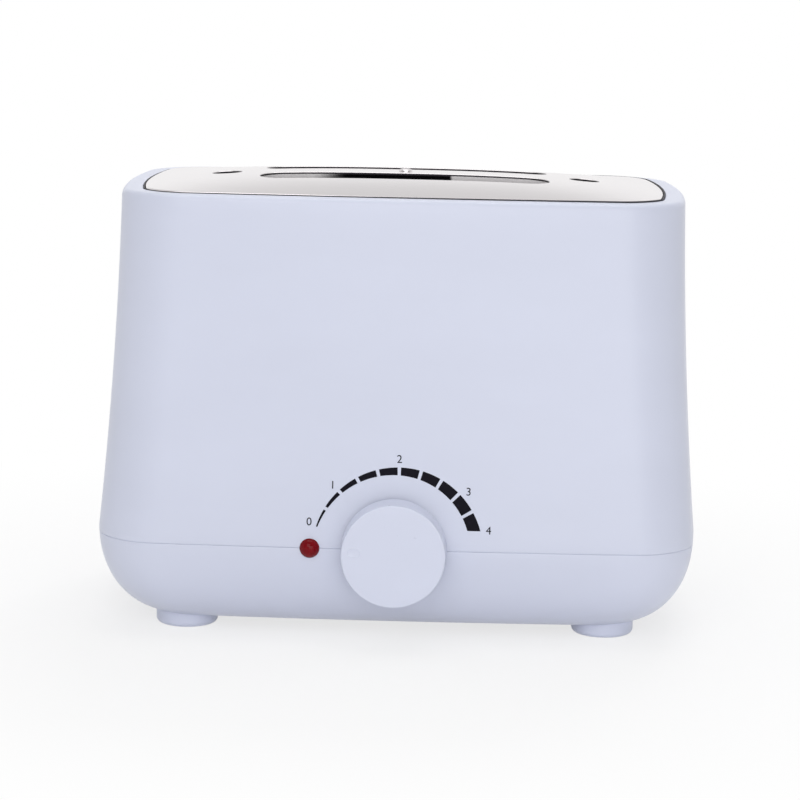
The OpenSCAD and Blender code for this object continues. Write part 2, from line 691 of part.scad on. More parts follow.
module foot(sx, sy) color(shell_white) in_frame() difference() {
    translate([sx*foot_x, sy*foot_y, 0]) difference() {
        rotate_extrude() polygon([
            [0, 0], [foot_d/2 - foot_fillet, 0],
            for (t = [22.5:22.5:90]) [foot_d/2 - foot_fillet*(1 - sin(t)), foot_fillet*(1 - cos(t))],
            [foot_d/2, 20], [0, 20]]);
        translate([0, 0, -1]) cylinder(r = screw_head_r + 0.3, h = foot_seat_z + 1);
        cylinder(r = screw_r + fit, h = 21);
    }
    base_outside();
}
module foot_front_left() foot(-1, -1);
module foot_front_right() foot(1, -1);
module foot_rear_left() foot(-1, 1);
module foot_rear_right() foot(1, 1);
module foot_screws() color(zinc) in_frame()
    four_ways(foot_x, foot_y) translate([0, 0, foot_seat_z]) screw_up(foot_screw_l);
module casing_screws() color(zinc) in_frame()
    four_ways(lower_boss_x, lower_boss_y) translate([0, 0, casing_screw_z]) screw_up(casing_screw_l);

upper_casing();
base_casing();
deck_plate();
deck_gasket();
deck_standoff();
deck_screw();
carrier_plate();
carrier_screws();
front_well();
rear_well();
front_heater();
rear_heater();
front_jacket();
rear_jacket();
feeler_bulb();
feeler_clip();
thermal_fuse();
fuse_clip();
knob();
knob_spring();
spindle();
thermostat_body();
thermostat_bracket();
thermostat_nut();
bracket_screws();
indicator_lens();
lens_clip();
neon_lamp();
terminal_block();
terminal_screws();
block_screws();
cord_gland();
cord_clamp();
clamp_screws();
foot_front_left();
foot_front_right();
foot_rear_left();
foot_rear_right();
foot_screws();
casing_screws();
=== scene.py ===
# Countertop heater for roll-on wax cartridges: the pieces that show, dressed over the solid model.
# Run as a script it builds the whole object; the panel in the 3D view's sidebar lists its steps.
# Lengths are in metres, the front faces -Y and the feet stand on z = 0.

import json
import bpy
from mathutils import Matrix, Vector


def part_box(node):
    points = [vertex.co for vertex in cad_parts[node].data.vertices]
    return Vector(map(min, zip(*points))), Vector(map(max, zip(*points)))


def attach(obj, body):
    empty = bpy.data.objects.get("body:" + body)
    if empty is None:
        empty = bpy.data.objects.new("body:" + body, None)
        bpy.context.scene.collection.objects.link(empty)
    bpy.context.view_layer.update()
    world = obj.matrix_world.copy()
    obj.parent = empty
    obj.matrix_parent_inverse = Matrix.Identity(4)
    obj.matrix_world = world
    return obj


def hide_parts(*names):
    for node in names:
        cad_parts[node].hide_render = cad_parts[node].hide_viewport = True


bl_info = {
    "name": "Roll-on Wax Heater",
    "version": (1, 0, 0),
    "blender": (4, 5, 0),
    "location": "View3D > Sidebar > Wax Heater",
    "description": "Builds a countertop heater for roll-on wax cartridges and its studio",
    "category": "Object",
}

from math import acos, asin, cos, degrees, pi, radians, sin, sqrt, tau

import bmesh
import bpy

from bpy.props import FloatProperty, FloatVectorProperty, PointerProperty
from mathutils import Matrix, Vector
from mathutils.geometry import delaunay_2d_cdt

MM = 0.001
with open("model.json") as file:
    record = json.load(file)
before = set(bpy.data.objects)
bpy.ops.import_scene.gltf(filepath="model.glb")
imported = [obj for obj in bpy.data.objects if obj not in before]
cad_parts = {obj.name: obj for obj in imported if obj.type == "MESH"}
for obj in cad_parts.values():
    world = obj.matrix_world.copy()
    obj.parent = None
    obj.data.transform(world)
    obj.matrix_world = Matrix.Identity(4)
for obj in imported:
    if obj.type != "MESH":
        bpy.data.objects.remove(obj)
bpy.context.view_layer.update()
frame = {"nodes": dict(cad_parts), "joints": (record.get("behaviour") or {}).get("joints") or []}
SHELL_LOW, SHELL_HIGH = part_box("upper_casing")
DECK_LOW, DECK_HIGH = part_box("deck_plate")
KNOB_LOW, KNOB_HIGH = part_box("knob")
FOOT_LOW, FOOT_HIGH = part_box("foot_front_left")
LENS_LOW, LENS_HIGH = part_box("indicator_lens")
GLAND_LOW, GLAND_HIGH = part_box("cord_gland")
DIAL = frame["joints"][0]
MIDDLE_Y = (SHELL_LOW.y + SHELL_HIGH.y) / 2

# The deck's dome: how late it falls away along the front and front to back, and its edge above the rim
DOME_LONG, DOME_ACROSS = 2.6, 2.4
DECK_EDGE = 0.3 * MM


# ---- Sizes and colours that a user would change ----

def length(name, default, description):
    return FloatProperty(name=name, default=default, description=description, unit="LENGTH", precision=5)


def colour(name, default, description):
    return FloatVectorProperty(name=name, default=default, description=description, subtype="COLOR",
                               size=3, min=0.0, max=1.0)


class HeaterSizes(bpy.types.PropertyGroup):
    """Sizes of the heater's outer pieces"""
    belly_width: length("Belly width", SHELL_HIGH.x - SHELL_LOW.x, "Width where the casing is widest")
    belly_depth: length("Belly depth", SHELL_HIGH.y - SHELL_LOW.y, "Depth where the casing is deepest")
    rim_width: length("Rim width", 233.4 * MM, "Width over the rim")
    rim_depth: length("Rim depth", 144 * MM, "Depth over the rim")
    rim_height: length("Rim height", SHELL_HIGH.z, "Height of the rim above the table")
    seam_height: length("Seam height", SHELL_LOW.z, "Height of the seam between the casing and its base")
    belly_rise: length("Belly rise", 2.4 * MM, "How far above the seam the casing is widest")
    floor_height: length("Floor height", 4.8 * MM, "Height of the base's underside")
    floor_inset: length("Floor inset", 28.2 * MM, "How far the underside draws in")
    rim_radius: length("Rim radius", 25 * MM, "Plan corner radius at the rim")
    belly_radius: length("Belly radius", 23.5 * MM, "Plan corner radius at the belly")
    floor_radius: length("Floor radius", 13 * MM, "Plan corner radius of the underside")
    front_bow: length("Front bow", 2.8 * MM, "How far the long sides bow out")
    side_bow: length("Side bow", 6 * MM, "How far the short sides bow out")
    wall: length("Wall", 2.5 * MM, "Wall of both casings")
    rim_fillet: length("Rim rounding", 2.4 * MM, "Rounding of the rim's outer edge")
    rim_band: length("Rim band", 8 * MM, "Width of the flat band round the deck")
    dome_height: length("Dome height", 5.3 * MM, "Height of the deck's dome")
    slot_length: length("Slot length", 120 * MM, "Length of each slot")
    slot_width: length("Slot width", 20.5 * MM, "Width of each slot")
    slot_radius: length("Slot radius", 9.8 * MM, "Corner radius of the slots")
    slot_offset: length("Slot offset", 19 * MM, "Distance of each slot from the centre line")
    vent_width: length("Vent width", 12.6 * MM, "Diameter of the deck's round holes")
    vent_offset: length("Vent offset", 75.2 * MM, "Distance of the round holes from the middle")
    scale_radius: length("Scale radius", 34.4 * MM, "Outer radius of the printed scale")


class HeaterColours(bpy.types.PropertyGroup):
    """Colours of the heater's finishes"""
    casing: colour("Casing", (0.66, 0.69, 0.82), "Moulded casing, base, knob and feet")
    steel: colour("Steel", (0.84, 0.805, 0.815), "Polished deck")
    lens: colour("Lens", (0.18, 0.002, 0.006), "Pilot lens")
    ink: colour("Ink", (0.006, 0.005, 0.010), "Printed scale and numerals")
    rubber: colour("Rubber", (0.020, 0.019, 0.026), "Deck seal and cord gland")


def sizes():
    return bpy.context.scene.heater_sizes


def colours():
    return bpy.context.scene.heater_colours


# ---- Shader maths ----

class Wire:
    """One output socket of a shader node, which takes part in sums as a number does."""

    def __init__(self, net, socket):
        self.net, self.socket = net, socket

    def math(self, operation, *operands, clamp=False):
        inputs = dict(enumerate(operands))
        return self.net.node("ShaderNodeMath", {"operation": operation, "use_clamp": clamp}, inputs)[0]

    def __add__(self, other):
        return self.math("ADD", self, other)

    def __sub__(self, other):
        return self.math("SUBTRACT", self, other)

    def __rsub__(self, other):
        return self.math("SUBTRACT", other, self)

    def __mul__(self, other):
        return self.math("MULTIPLY", self, other)

    def __truediv__(self, other):
        return self.math("DIVIDE", self, other)

    def __pow__(self, other):
        return self.math("POWER", self, other)

    def __abs__(self):
        return self.math("ABSOLUTE", self)

    __radd__ = __add__
    __rmul__ = __mul__

    def clamped(self):
        return self.math("ADD", self, 0.0, clamp=True)

    def step(self, low, high, to_low=0.0, to_high=1.0):
        """Rises smoothly from to_low at low to to_high at high."""
        return self.net.node("ShaderNodeMapRange", {"interpolation_type": "SMOOTHSTEP"},
                             {0: self, 1: low, 2: high, 3: to_low, 4: to_high})[0]


class Net:
    """The node tree of a material or of the world."""

    def __init__(self, tree):
        self.tree = tree
        tree.nodes.clear()

    def node(self, kind, settings=None, inputs=None):
        """Adds a node: its settings first, then the values or links of its sockets."""
        made = self.tree.nodes.new(kind)
        for name, value in (settings or {}).items():
            if name == "stops":
                ramp = made.color_ramp
                while len(ramp.elements) < len(value):
                    ramp.elements.new(0.5)
                for element, (place, tone) in zip(ramp.elements, value):
                    element.position, element.color = place, (*tone, 1.0)
            else:
                setattr(made, name, value)
        for key, value in (inputs or {}).items():
            if isinstance(value, Wire):
                self.tree.links.new(value.socket, made.inputs[key])
            else:
                made.inputs[key].default_value = value
        return Outputs(self, made)

    def mix(self, factor, first, second):
        """Mixes two colours, each a link or three numbers."""
        first, second = (tone if isinstance(tone, Wire) else (*tone, 1.0) for tone in (first, second))
        return self.node("ShaderNodeMix", {"data_type": "RGBA"}, {0: factor, 6: first, 7: second})[2]

    def noise(self, where, scale, detail=2.0, roughness=0.5):
        return self.node("ShaderNodeTexNoise", inputs={
            "Vector": where, "Scale": scale, "Detail": detail, "Roughness": roughness})[0]

    def stretched(self, where, scale):
        """The coordinates scaled by a different amount along each axis."""
        return self.node("ShaderNodeVectorMath", {"operation": "MULTIPLY"}, {0: where, 1: scale})[0]


class Outputs:
    """A node's output sockets, each as a Wire."""

    def __init__(self, net, made):
        self.net, self.made = net, made

    def __getitem__(self, key):
        return Wire(self.net, self.made.outputs[key])


class Finish(Net):
    """A new material with one Principled shader."""

    def __init__(self, name, **fixed):
        self.material = bpy.data.materials.new(name)
        self.material.use_nodes = True
        super().__init__(self.material.node_tree)
        self.where = self.node("ShaderNodeTexCoord")["Object"]
        self.shader = self.node("ShaderNodeBsdfPrincipled").made
        for socket, value in fixed.items():
            self.shader.inputs[socket.replace("_", " ")].default_value = value
        output = self.node("ShaderNodeOutputMaterial").made
        self.tree.links.new(self.shader.outputs[0], output.inputs[0])

    def varies(self, base=None, roughness=None, relief=None, depth=0.0, metallic=None):
        """Links what changes over the surface, and a relief of the given depth in metres."""
        for socket, wire in (("Base Color", base), ("Roughness", roughness), ("Metallic", metallic)):
            if wire is not None:
                self.tree.links.new(wire.socket, self.shader.inputs[socket])
        if relief is not None:
            bump = self.node("ShaderNodeBump", inputs={"Strength": 1.0, "Distance": depth, "Height": relief})
            self.tree.links.new(bump["Normal"].socket, self.shader.inputs["Normal"])
        return self.material


def shade(tone, factor):
    return [min(1.0, part * factor) for part in tone]


# ---- Finishes ----

def moulded_plastic(name, tone, grain=2400, depth=2.2e-6, gloss=0.34):
    """Satin moulded plastic: fine spark grain, faint flow marks and a slightly uneven gloss."""
    finish = Finish(name, IOR=1.5)
    flow = finish.noise(finish.stretched(finish.where, (9, 9, 26)), 1.0, 3.0)
    grains = finish.noise(finish.where, grain, 2.0)
    cells = finish.noise(finish.where, 380, 3.0)
    base = finish.mix(flow.step(0.3, 0.7), shade(tone, 0.985), shade(tone, 1.012))
    return finish.varies(base, gloss + (cells - 0.5) * 0.10 + (flow - 0.5) * 0.06, grains, depth)


def polished_steel(name, tone):
    """Deck steel, polished nearly smooth. Inside the slots a dark line of painted shade runs below the edge, above a
    pale band of painted light that stands in for the lit wall; in the middle of the front slot the pale band is left
    out."""
    finish = Finish(name, Metallic=1.0)
    size = sizes()
    lines = finish.noise(finish.stretched(finish.where, (26, 2600, 2600)), 1.0, 3.0)
    cloud = finish.noise(finish.where, 22, 3.0)
    place = finish.node("ShaderNodeSeparateXYZ", inputs={0: finish.where})
    x, y, z = place[0], place[1] - MIDDLE_Y, place[2]
    along_share = abs(x / ((DECK_HIGH.x - DECK_LOW.x) / 2)) ** DOME_LONG
    across_share = abs(y / ((DECK_HIGH.y - DECK_LOW.y) / 2)) ** DOME_ACROSS
    surface = (1 - along_share) * (1 - across_share) * size.dome_height + (size.rim_height + DECK_EDGE)
    depth = surface - z
    reach_x = size.vent_offset + size.vent_width / 2 + 3 * MM
    reach_y = size.slot_offset + size.slot_width / 2 + 5 * MM
    openings = (1 - abs(x).step(reach_x, reach_x + 6 * MM)) * (1 - abs(y).step(reach_y, reach_y + 6 * MM))
    # Painted shade: near black inside the slots and holes, from just below the dome's surface downwards.
    painted_slot_shade = depth.step(0.12 * MM, 0.35 * MM) * openings
    # In the middle of the front slot the pale band is left out, so the dark runs all the way down.
    no_pale_band = x.step(-40 * MM, -24 * MM) * (1 - x.step(18.5 * MM, 20 * MM)) * (1 - y.step(-6 * MM, 0.0))
    # Painted light: a pale matt band, not metallic, stands in for the lit wall below the dark line.
    painted_pale_wall = painted_slot_shade * depth.step(0.75 * MM, 1.05 * MM) * (1 - no_pale_band)
    base = finish.mix(lines, shade(tone, 0.985), shade(tone, 1.01))
    base = finish.mix(painted_slot_shade, base, (0.02, 0.018, 0.022))
    base = finish.mix(painted_pale_wall, base, (0.92, 0.89, 0.90))
    return finish.varies(base, 0.15 + lines * 0.10 + (cloud - 0.5) * 0.05 + painted_pale_wall * 0.3, lines, 0.5e-6,
                         metallic=1 - painted_pale_wall)


def zinc_plate(name):
    """Bright zinc plating with its faint spangle and a little rolled grain."""
    finish = Finish(name, Metallic=1.0)
    spangle = finish.node("ShaderNodeTexVoronoi", inputs={"Vector": finish.where, "Scale": 420})["Color"]
    value = finish.node("ShaderNodeSeparateColor", inputs={0: spangle})[0]
    grain = finish.noise(finish.where, 1800, 3.0)
    base = finish.mix(value, (0.50, 0.51, 0.53), (0.68, 0.69, 0.71))
    return finish.varies(base, 0.26 + value * 0.12 + (grain - 0.5) * 0.08, grain, 2e-6)


def well_coating(name):
    """Dark non-stick coating on drawn aluminium, which is left bare round the mouth."""
    finish = Finish(name, Coat_Weight=0.25, Coat_Roughness=0.2)
    speck = finish.noise(finish.where, 900, 4.0)
    haze = finish.noise(finish.where, 30, 3.0)
    height = finish.node("ShaderNodeSeparateXYZ", inputs={0: finish.where})[2] + haze * MM
    mouth = height.step(sizes().rim_height - 5 * MM, sizes().rim_height - 4 * MM)
    base = finish.mix(speck.step(0.60, 0.68), (0.030, 0.030, 0.033), (0.08, 0.08, 0.085))
    base = finish.mix(mouth, base, (0.66, 0.64, 0.65))
    return finish.varies(base, 0.36 + (haze - 0.5) * 0.2, speck, 6e-6)


def two_tone(name, low, high, coarse, fine, gloss, uneven, depth, band=None, **fixed):
    """A finish whose tone follows a coarse noise, and whose gloss and relief follow a fine one."""
    finish = Finish(name, **fixed)
    tone = finish.noise(finish.where, *coarse)
    grain = finish.noise(finish.where, *fine)
    base = finish.mix(tone.step(*band) if band else tone, low, high)
    return finish.varies(base, gloss + (grain - 0.5) * uneven, grain, depth)


def rubber(name, tone):
    return two_tone(name, shade(tone, 0.85), shade(tone, 1.5), (70, 3.0), (1500, 2.0), 0.55, 0.15, 8e-6,
                    Specular_IOR_Level=0.35)


def printed_ink(name, tone):
    """Screen-printed ink: matt black with a slightly open edge and mesh texture."""
    return two_tone(name, tone, shade(tone, 2.2), (500, 4.0), (2600, 2.0), 0.5, 0.15, 4e-6, band=(0.55, 0.8),
                    Specular_IOR_Level=0.08)


def glazed_ceramic(name):
    return two_tone(name, (0.80, 0.77, 0.68), (0.62, 0.56, 0.45), (600, 5.0, 0.7), (600, 5.0, 0.7), 0.4, 0.1, 8e-6,
                    band=(0.58, 0.70), Coat_Weight=0.6, Coat_Roughness=0.12)


def layered_mica(name):
    """Pressed mica board: pale flakes in a brown binder."""
    finish = Finish(name, Coat_Weight=0.15)
    flakes = finish.node("ShaderNodeTexVoronoi", inputs={
        "Vector": finish.stretched(finish.where, (260, 260, 420)), "Scale": 1.0})["Color"]
    value = finish.node("ShaderNodeSeparateColor", inputs={0: flakes})[0]
    base = finish.node("ShaderNodeValToRGB", {"stops": [
        (0.0, (0.30, 0.20, 0.10)), (0.6, (0.52, 0.41, 0.25)), (1.0, (0.74, 0.66, 0.48))]}, {0: value})[0]
    return finish.varies(base, 0.30 + value * 0.3, value, 1.2e-5)


def felt_wrap(name):
    """Needled ceramic felt: short crossed fibres."""
    finish = Finish(name, Sheen_Weight=0.3)
    fibres = finish.noise(finish.stretched(finish.where, (1600, 1600, 300)), 1.0, 5.0, 0.65)
    tufts = finish.noise(finish.where, 240, 4.0)
    base = finish.mix(fibres.step(0.35, 0.65), (0.62, 0.61, 0.57), (0.86, 0.85, 0.80))
    return finish.varies(base, 0.88 + (tufts - 0.5) * 0.1, fibres + tufts, 1.2e-4)


def drawn_metal(name, low, high, gloss):
    """Drawn copper or turned brass: lengthwise lines and slight tarnish."""
    finish = Finish(name, Metallic=1.0)
    lines = finish.noise(finish.stretched(finish.where, (60, 2200, 2200)), 1.0, 3.0)
    tarnish = finish.noise(finish.where, 130, 4.0)
    base = finish.mix(tarnish.step(0.3, 0.75), high, low)
    return finish.varies(base, gloss + lines * 0.12, lines, 1.5e-6)


def natural_nylon(name):
    finish = Finish(name, Subsurface_Weight=0.15, Subsurface_Scale=0.002)
    flow = finish.noise(finish.where, 60, 3.0)
    grain = finish.noise(finish.where, 1200, 2.0)
    base = finish.mix(flow, (0.78, 0.77, 0.71), (0.86, 0.85, 0.80))
    return finish.varies(base, 0.45 + (flow - 0.5) * 0.12, grain, 6e-6)


def lens_plastic(name, tone):
    """Dark red glossy lens with a faint moulded ripple under its surface, and painted shade towards its rim."""
    finish = Finish(name, IOR=1.5, Specular_IOR_Level=0.14)
    ripple = finish.noise(finish.where, 420, 2.0)
    haze = finish.noise(finish.where, 150, 3.0)
    edge = finish.node("ShaderNodeLayerWeight", inputs={"Blend": 0.35})["Facing"]
    base = finish.mix(ripple, shade(tone, 0.8), shade(tone, 1.25))
    # Painted shade: the colour darkens where the lens turns away from the view.
    base = finish.mix(edge.step(0.35, 0.95), base, shade(tone, 0.35))
    return finish.varies(base, 0.06 + haze * 0.06, ripple, 4e-6)


def lamp_glass(name):
    finish = Finish(name, IOR=1.45, Transmission_Weight=0.6)
    haze = finish.noise(finish.where, 260, 3.0)
    base = finish.mix(haze, (0.85, 0.50, 0.32), (0.95, 0.66, 0.48))
    return finish.varies(base, 0.05 + haze * 0.08)


def finishes():
    """All finishes, made once and found by name afterwards."""
    tones = colours()
    recipes = {
        "casing_satin": lambda n: moulded_plastic(n, tones.casing),
        # Painted light: the knob is the casing's plastic made 4 per cent lighter, to make up for the light it lacks.
        "knob_satin": lambda n: moulded_plastic(n, shade(tones.casing, 1.04), grain=3000, depth=1.6e-6, gloss=0.30),
        # Painted light: the feet are the casing's plastic made 13 per cent lighter, against the shade under the body.
        "foot_satin": lambda n: moulded_plastic(n, shade(tones.casing, 1.13), gloss=0.38),
        "deck_steel": lambda n: polished_steel(n, tones.steel),
        "seal_rubber": lambda n: rubber(n, tones.rubber),
        "zinc_plate": zinc_plate,
        "well_coating": well_coating,
        "mica_board": layered_mica,
        "felt_wrap": felt_wrap,
        "drawn_copper": lambda n: drawn_metal(n, (0.35, 0.14, 0.07), (0.72, 0.36, 0.22), 0.25),
        "turned_brass": lambda n: drawn_metal(n, (0.42, 0.29, 0.10), (0.72, 0.54, 0.24), 0.22),
        "glazed_ceramic": glazed_ceramic,
        "natural_nylon": natural_nylon,
        "lens_red": lambda n: lens_plastic(n, tones.lens),
        "lamp_glass": lamp_glass,
        "dial_ink": lambda n: printed_ink(n, tones.ink),
    }
    return {name: bpy.data.materials.get(name) or recipe(name) for name, recipe in recipes.items()}


# ---- The casing's outer shape ----

class Casing:
    """Plan outlines of the casing at every height, from the sizes in the panel."""
    ARC, LONG, SHORT = 20, 36, 22      # steps in a corner, along a long side and along a short side

    def __init__(self):
        self.size = sizes()
        self.belly = self.size.seam_height + self.size.belly_rise

    def outline(self, a, b, r):
        """A rounded rectangle whose sides bow out, anticlockwise from the right-hand side."""
        u, v = a - r, b - r
        points = []
        for cx, cy, start, steps, target in ((u, v, 0, self.LONG, (-u, b)), (-u, v, 90, self.SHORT, (-a, -v)),
                                             (-u, -v, 180, self.LONG, (u, -b)), (u, -v, 270, self.SHORT, (a, v))):
            points += arc(cx, cy, r, start, start + 90, self.ARC)
            x, y = points[-1]
            points += [(x + (target[0] - x) * k / steps, y + (target[1] - y) * k / steps)
                       for k in range(1, steps)]
        size = self.size
        return [(x * (1 - size.side_bow / a * (y / b) ** 2),
                 y * (1 - size.front_bow / b * (x / a) ** 2)) for x, y in points]

    def at(self, points, z):
        return [Vector((x, y + MIDDLE_Y, z)) for x, y in points]

    def spread(self, z):
        """How far the side has spread from the rim (0) to the belly (1)."""
        rise = (self.size.rim_height - z) / (self.size.rim_height - self.belly)
        return 0.4 * rise + 0.6 * rise * rise

    def side_half(self, z, inset=0.0):
        size, k = self.size, self.spread(z)
        return (size.rim_width / 2 + (size.belly_width - size.rim_width) / 2 * k - inset,
                size.rim_depth / 2 + (size.belly_depth - size.rim_depth) / 2 * k - inset,
                size.rim_radius + (size.belly_radius - size.rim_radius) * k - inset)

    def bowl_half(self, z, inset=0.0):
        size = self.size
        low = size.floor_height + inset
        k = 1 - sqrt(max(0.0, 1 - min(1.0, (self.belly - z) / (self.belly - low)) ** 2))
        return (size.belly_width / 2 - inset - (size.floor_inset - inset) * k,
                size.belly_depth / 2 - inset - (size.floor_inset - inset) * k,
                size.belly_radius - inset - (size.belly_radius - size.floor_radius) * k)

    def half(self, z, inset=0.0):
        return self.side_half(z, inset) if z >= self.belly else self.bowl_half(z, inset)

    def ring(self, z, inset=0.0):
        return self.at(self.outline(*self.half(z, inset)), z)

    def rim_ring(self, inset, z):
        size = self.size
        return self.at(self.outline(size.rim_width / 2 - inset, size.rim_depth / 2 - inset,
                                    size.rim_radius - inset), z)

    def front(self, x, z):
        """The point of the front face at x and z."""
        a, b, _ = self.half(z)
        return Vector((x, MIDDLE_Y - b + self.size.front_bow * (x / a) ** 2, z))

    def underside(self, x, y):
        """Height of the bowl's surface over a point of the plan, found by halving."""
        low, high = self.size.floor_height, self.belly
        x, y = abs(x), abs(y - MIDDLE_Y)
        for _ in range(24):
            z = (low + high) / 2
            a, b, r = self.half(z)
            x_limit = a * (1 - self.size.side_bow / a * (y / b) ** 2)
            y_limit = b * (1 - self.size.front_bow / b * (x / a) ** 2)
            dx, dy = x - (x_limit - r), y - (y_limit - r)
            outside = max(dx, dy) > r if min(dx, dy) < 0 else dx * dx + dy * dy > r * r
            low, high = (z, high) if outside else (low, z)
        return high


# ---- Meshes ----

TINY = 1e-7         # below this, in metres, points count as one


def new_piece(name, mesh, finish, nodes=(), body="housing"):
    """Puts a mesh into the scene as a finished piece, which takes the place of nodes of the solid model."""
    piece = bpy.data.objects.new(name, mesh)
    bpy.context.scene.collection.objects.link(piece)
    mesh.materials.clear()
    mesh.materials.append(finishes()[finish])
    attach(piece, body)
    if nodes:
        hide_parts(*nodes)
    return piece


def smooth(mesh, angle=32):
    mesh.shade_smooth()
    mesh.set_sharp_from_angle(angle=radians(angle))


def to_mesh(bm, name, angle=32):
    """Turns the bmesh into a mesh with outward normals, sharp where faces meet at more than the angle."""
    bmesh.ops.recalc_face_normals(bm, faces=bm.faces)
    mesh = bpy.data.meshes.new(name)
    bm.to_mesh(mesh)
    bm.free()
    smooth(mesh, angle)
    return mesh


def circle(radius, steps):
    """Plan points round the origin, anticlockwise."""
    return [(radius * cos(tau * k / steps), radius * sin(tau * k / steps)) for k in range(steps)]


def arc(cx, cy, r, start, end, steps=6):
    """Points of an arc by its centre, its radius and its angles in degrees."""
    return [(cx + r * cos(radians(start + (end - start) * k / steps)),
             cy + r * sin(radians(start + (end - start) * k / steps))) for k in range(steps + 1)]


def rounded_slot(length_, width, r, steps=14):
    """A rounded rectangle in plan, anticlockwise."""
    points = []
    for sx, sy, start in ((1, 1, 0), (-1, 1, 90), (-1, -1, 180), (1, -1, 270)):
        points += [(sx * (length_ / 2 - r) + x, sy * (width / 2 - r) + y)
                   for x, y in arc(0, 0, r, start, start + 90, steps)]
    return points


def at_height(ring, z):
    return [Vector((point.x, point.y, z)) for point in ring]


def bridge(bm, low, high):
    """Faces between two closed rows. A corner that repeats is dropped, so a row may be one vertex all round."""
    for corners in zip(low, low[1:] + low[:1], high[1:] + high[:1], high):
        corners = list(dict.fromkeys(corners))
        if len(corners) > 2:
            bm.faces.new(corners)


def add_loft(bm, rings, loop=False):
    """Skins rings of equal counts. A loop joins the last ring to the first, otherwise both ends close."""
    rows = [[bm.verts.new(point) for point in ring] for ring in rings]
    for low, high in zip(rows, rows[1:] + rows[:1] if loop else rows[1:]):
        bridge(bm, low, high)
    if not loop:
        bm.faces.new(reversed(rows[0]))
        bm.faces.new(rows[-1])


def add_lathe(bm, profile, place, steps=96):
    """Revolves (radius, height) pairs about the Z axis of place. Points on the axis close the form."""
    rows = []
    for radius, height in profile:
        if radius < TINY:
            rows.append([bm.verts.new(place @ Vector((0, 0, height)))] * steps)
        else:
            rows.append([bm.verts.new(place @ Vector((x, y, height))) for x, y in circle(radius, steps)])
    for low, high in zip(rows, rows[1:]):
        bridge(bm, low, high)
    if profile[0][0] > TINY and profile[-1][0] > TINY:
        bridge(bm, rows[-1], rows[0])


def split_long(points, longest):
    """Adds points so that no side of a closed outline is longer than the given length."""
    made = []
    for p, q in zip(points, points[1:] + points[:1]):
        span = (Vector(q) - Vector(p)).length
        count = max(1, int(span / longest + 0.999))
        made += [tuple(Vector(p).lerp(Vector(q), k / count)) for k in range(count)]
    return made


def along(place, axis, turn=0.0):
    """A matrix whose Z axis points along the given axis from the given place."""
    rotation = Vector((0, 0, 1)).rotation_difference(Vector(axis)).to_matrix().to_4x4()
    return Matrix.Translation(Vector(place)) @ rotation @ Matrix.Rotation(turn, 4, "Z")


def lofted(name, rings, loop=False, angle=32):
    bm = bmesh.new()
    add_loft(bm, rings, loop)
    return to_mesh(bm, name, angle)


def lathed(name, profile, place=Matrix(), steps=96):
    bm = bmesh.new()
    add_lathe(bm, profile, place, steps)
    return to_mesh(bm, name)


def corners(place):
    """The place mirrored into all four quarters of the plan."""
    return [(sx * place[0], MIDDLE_Y + sy * place[1]) for sx in (-1, 1) for sy in (-1, 1)]


def cut(mesh, cutters, name, angle=32):
    """The mesh with the cutters' mesh taken away."""
    target = bpy.data.objects.new(name + "_blank", mesh)
    tool = bpy.data.objects.new(name + "_tool", cutters)
    for item in (target, tool):
        bpy.context.scene.collection.objects.link(item)
    modifier = target.modifiers.new("cut", "BOOLEAN")
    modifier.operation, modifier.solver, modifier.object = "DIFFERENCE", "EXACT", tool
    modifier.use_self = True
    graph = bpy.context.evaluated_depsgraph_get()
    result = bpy.data.meshes.new_from_object(target.evaluated_get(graph))
    for item in (target, tool):
        bpy.data.objects.remove(item)
    if len(result.polygons) < len(mesh.polygons) // 2:
        raise RuntimeError("The cut of " + name + " left too little of it")
    result.name = name
    smooth(result, angle)
    return result


def prism(bm, points, levels):
    """A closed prism through copies of a plan outline. Levels are (height, growth) pairs."""
    middle = sum((Vector((x, y, 0)) for x, y in points), Vector()) / len(points)
    add_loft(bm, [[Vector((x, y, 0)) + (Vector((x, y, 0)) - middle).normalized() * grow + Vector((0, 0, z))
                   for x, y in points] for z, grow in levels])


# ---- Casings ----

SEAM_ROUND = 0.35 * MM          # rounding of both edges at the seam
SEAM_TURNS = (90, 60, 30, 0)    # degrees round that rounding
LEDGE_DROP = 3 * MM             # the ledge that carries the deck, below the rim
LEDGE_WIDTH = 5 * MM
LIP_HEIGHT = 4 * MM             # the base's lip, which stands inside the upper casing
LIP_GAP = 0.1 * MM
LIP_THICK = 1.4 * MM
LIP_EASE = 0.3 * MM
CASING_BOSS = (104 * MM, 20 * MM)
DECK_BOSS = (89 * MM, 45 * MM)
BOSS_RADIUS, BOSS_EASE = 5 * MM, 0.4 * MM
SPINDLE_HOLE, LENS_HOLE = 4 * MM, 3.6 * MM      # radii


def seam_edge(casing, side):
    """Rings of the rounded edge at the seam, from the outer face inwards. Side is 1 above and -1 below."""
    seam = casing.size.seam_height
    rings = []
    for turn in map(radians, SEAM_TURNS):
        outer = casing.ring(seam + side * SEAM_ROUND, SEAM_ROUND * (1 - sin(turn)))
        rings.append(at_height(outer, seam + side * SEAM_ROUND * (1 - cos(turn))))
    return rings


def add_bosses(bm, place, low, high):
    """Four round bosses from low to high."""
    inner = BOSS_RADIUS - BOSS_EASE
    profile = [(0, low), (inner, low), (BOSS_RADIUS, low + BOSS_EASE), (BOSS_RADIUS, high - BOSS_EASE),
               (inner, high), (0, high)]
    for x, y in corners(place):
        add_lathe(bm, profile, Matrix.Translation((x, y, 0)), 32)


def seam_hole_cutters(bm):
    """The spindle's and the lens's holes through the front, which both casings share."""
    reach = 14 * MM
    for x, radius in ((0.0, SPINDLE_HOLE), ((LENS_LOW.x + LENS_HIGH.x) / 2, LENS_HOLE)):
        place = along((x, SHELL_LOW.y - 5 * MM, sizes().seam_height), (0, 1, 0))
        add_lathe(bm, [(0, 0), (radius, 0), (radius, reach), (0, reach)], place, 64)


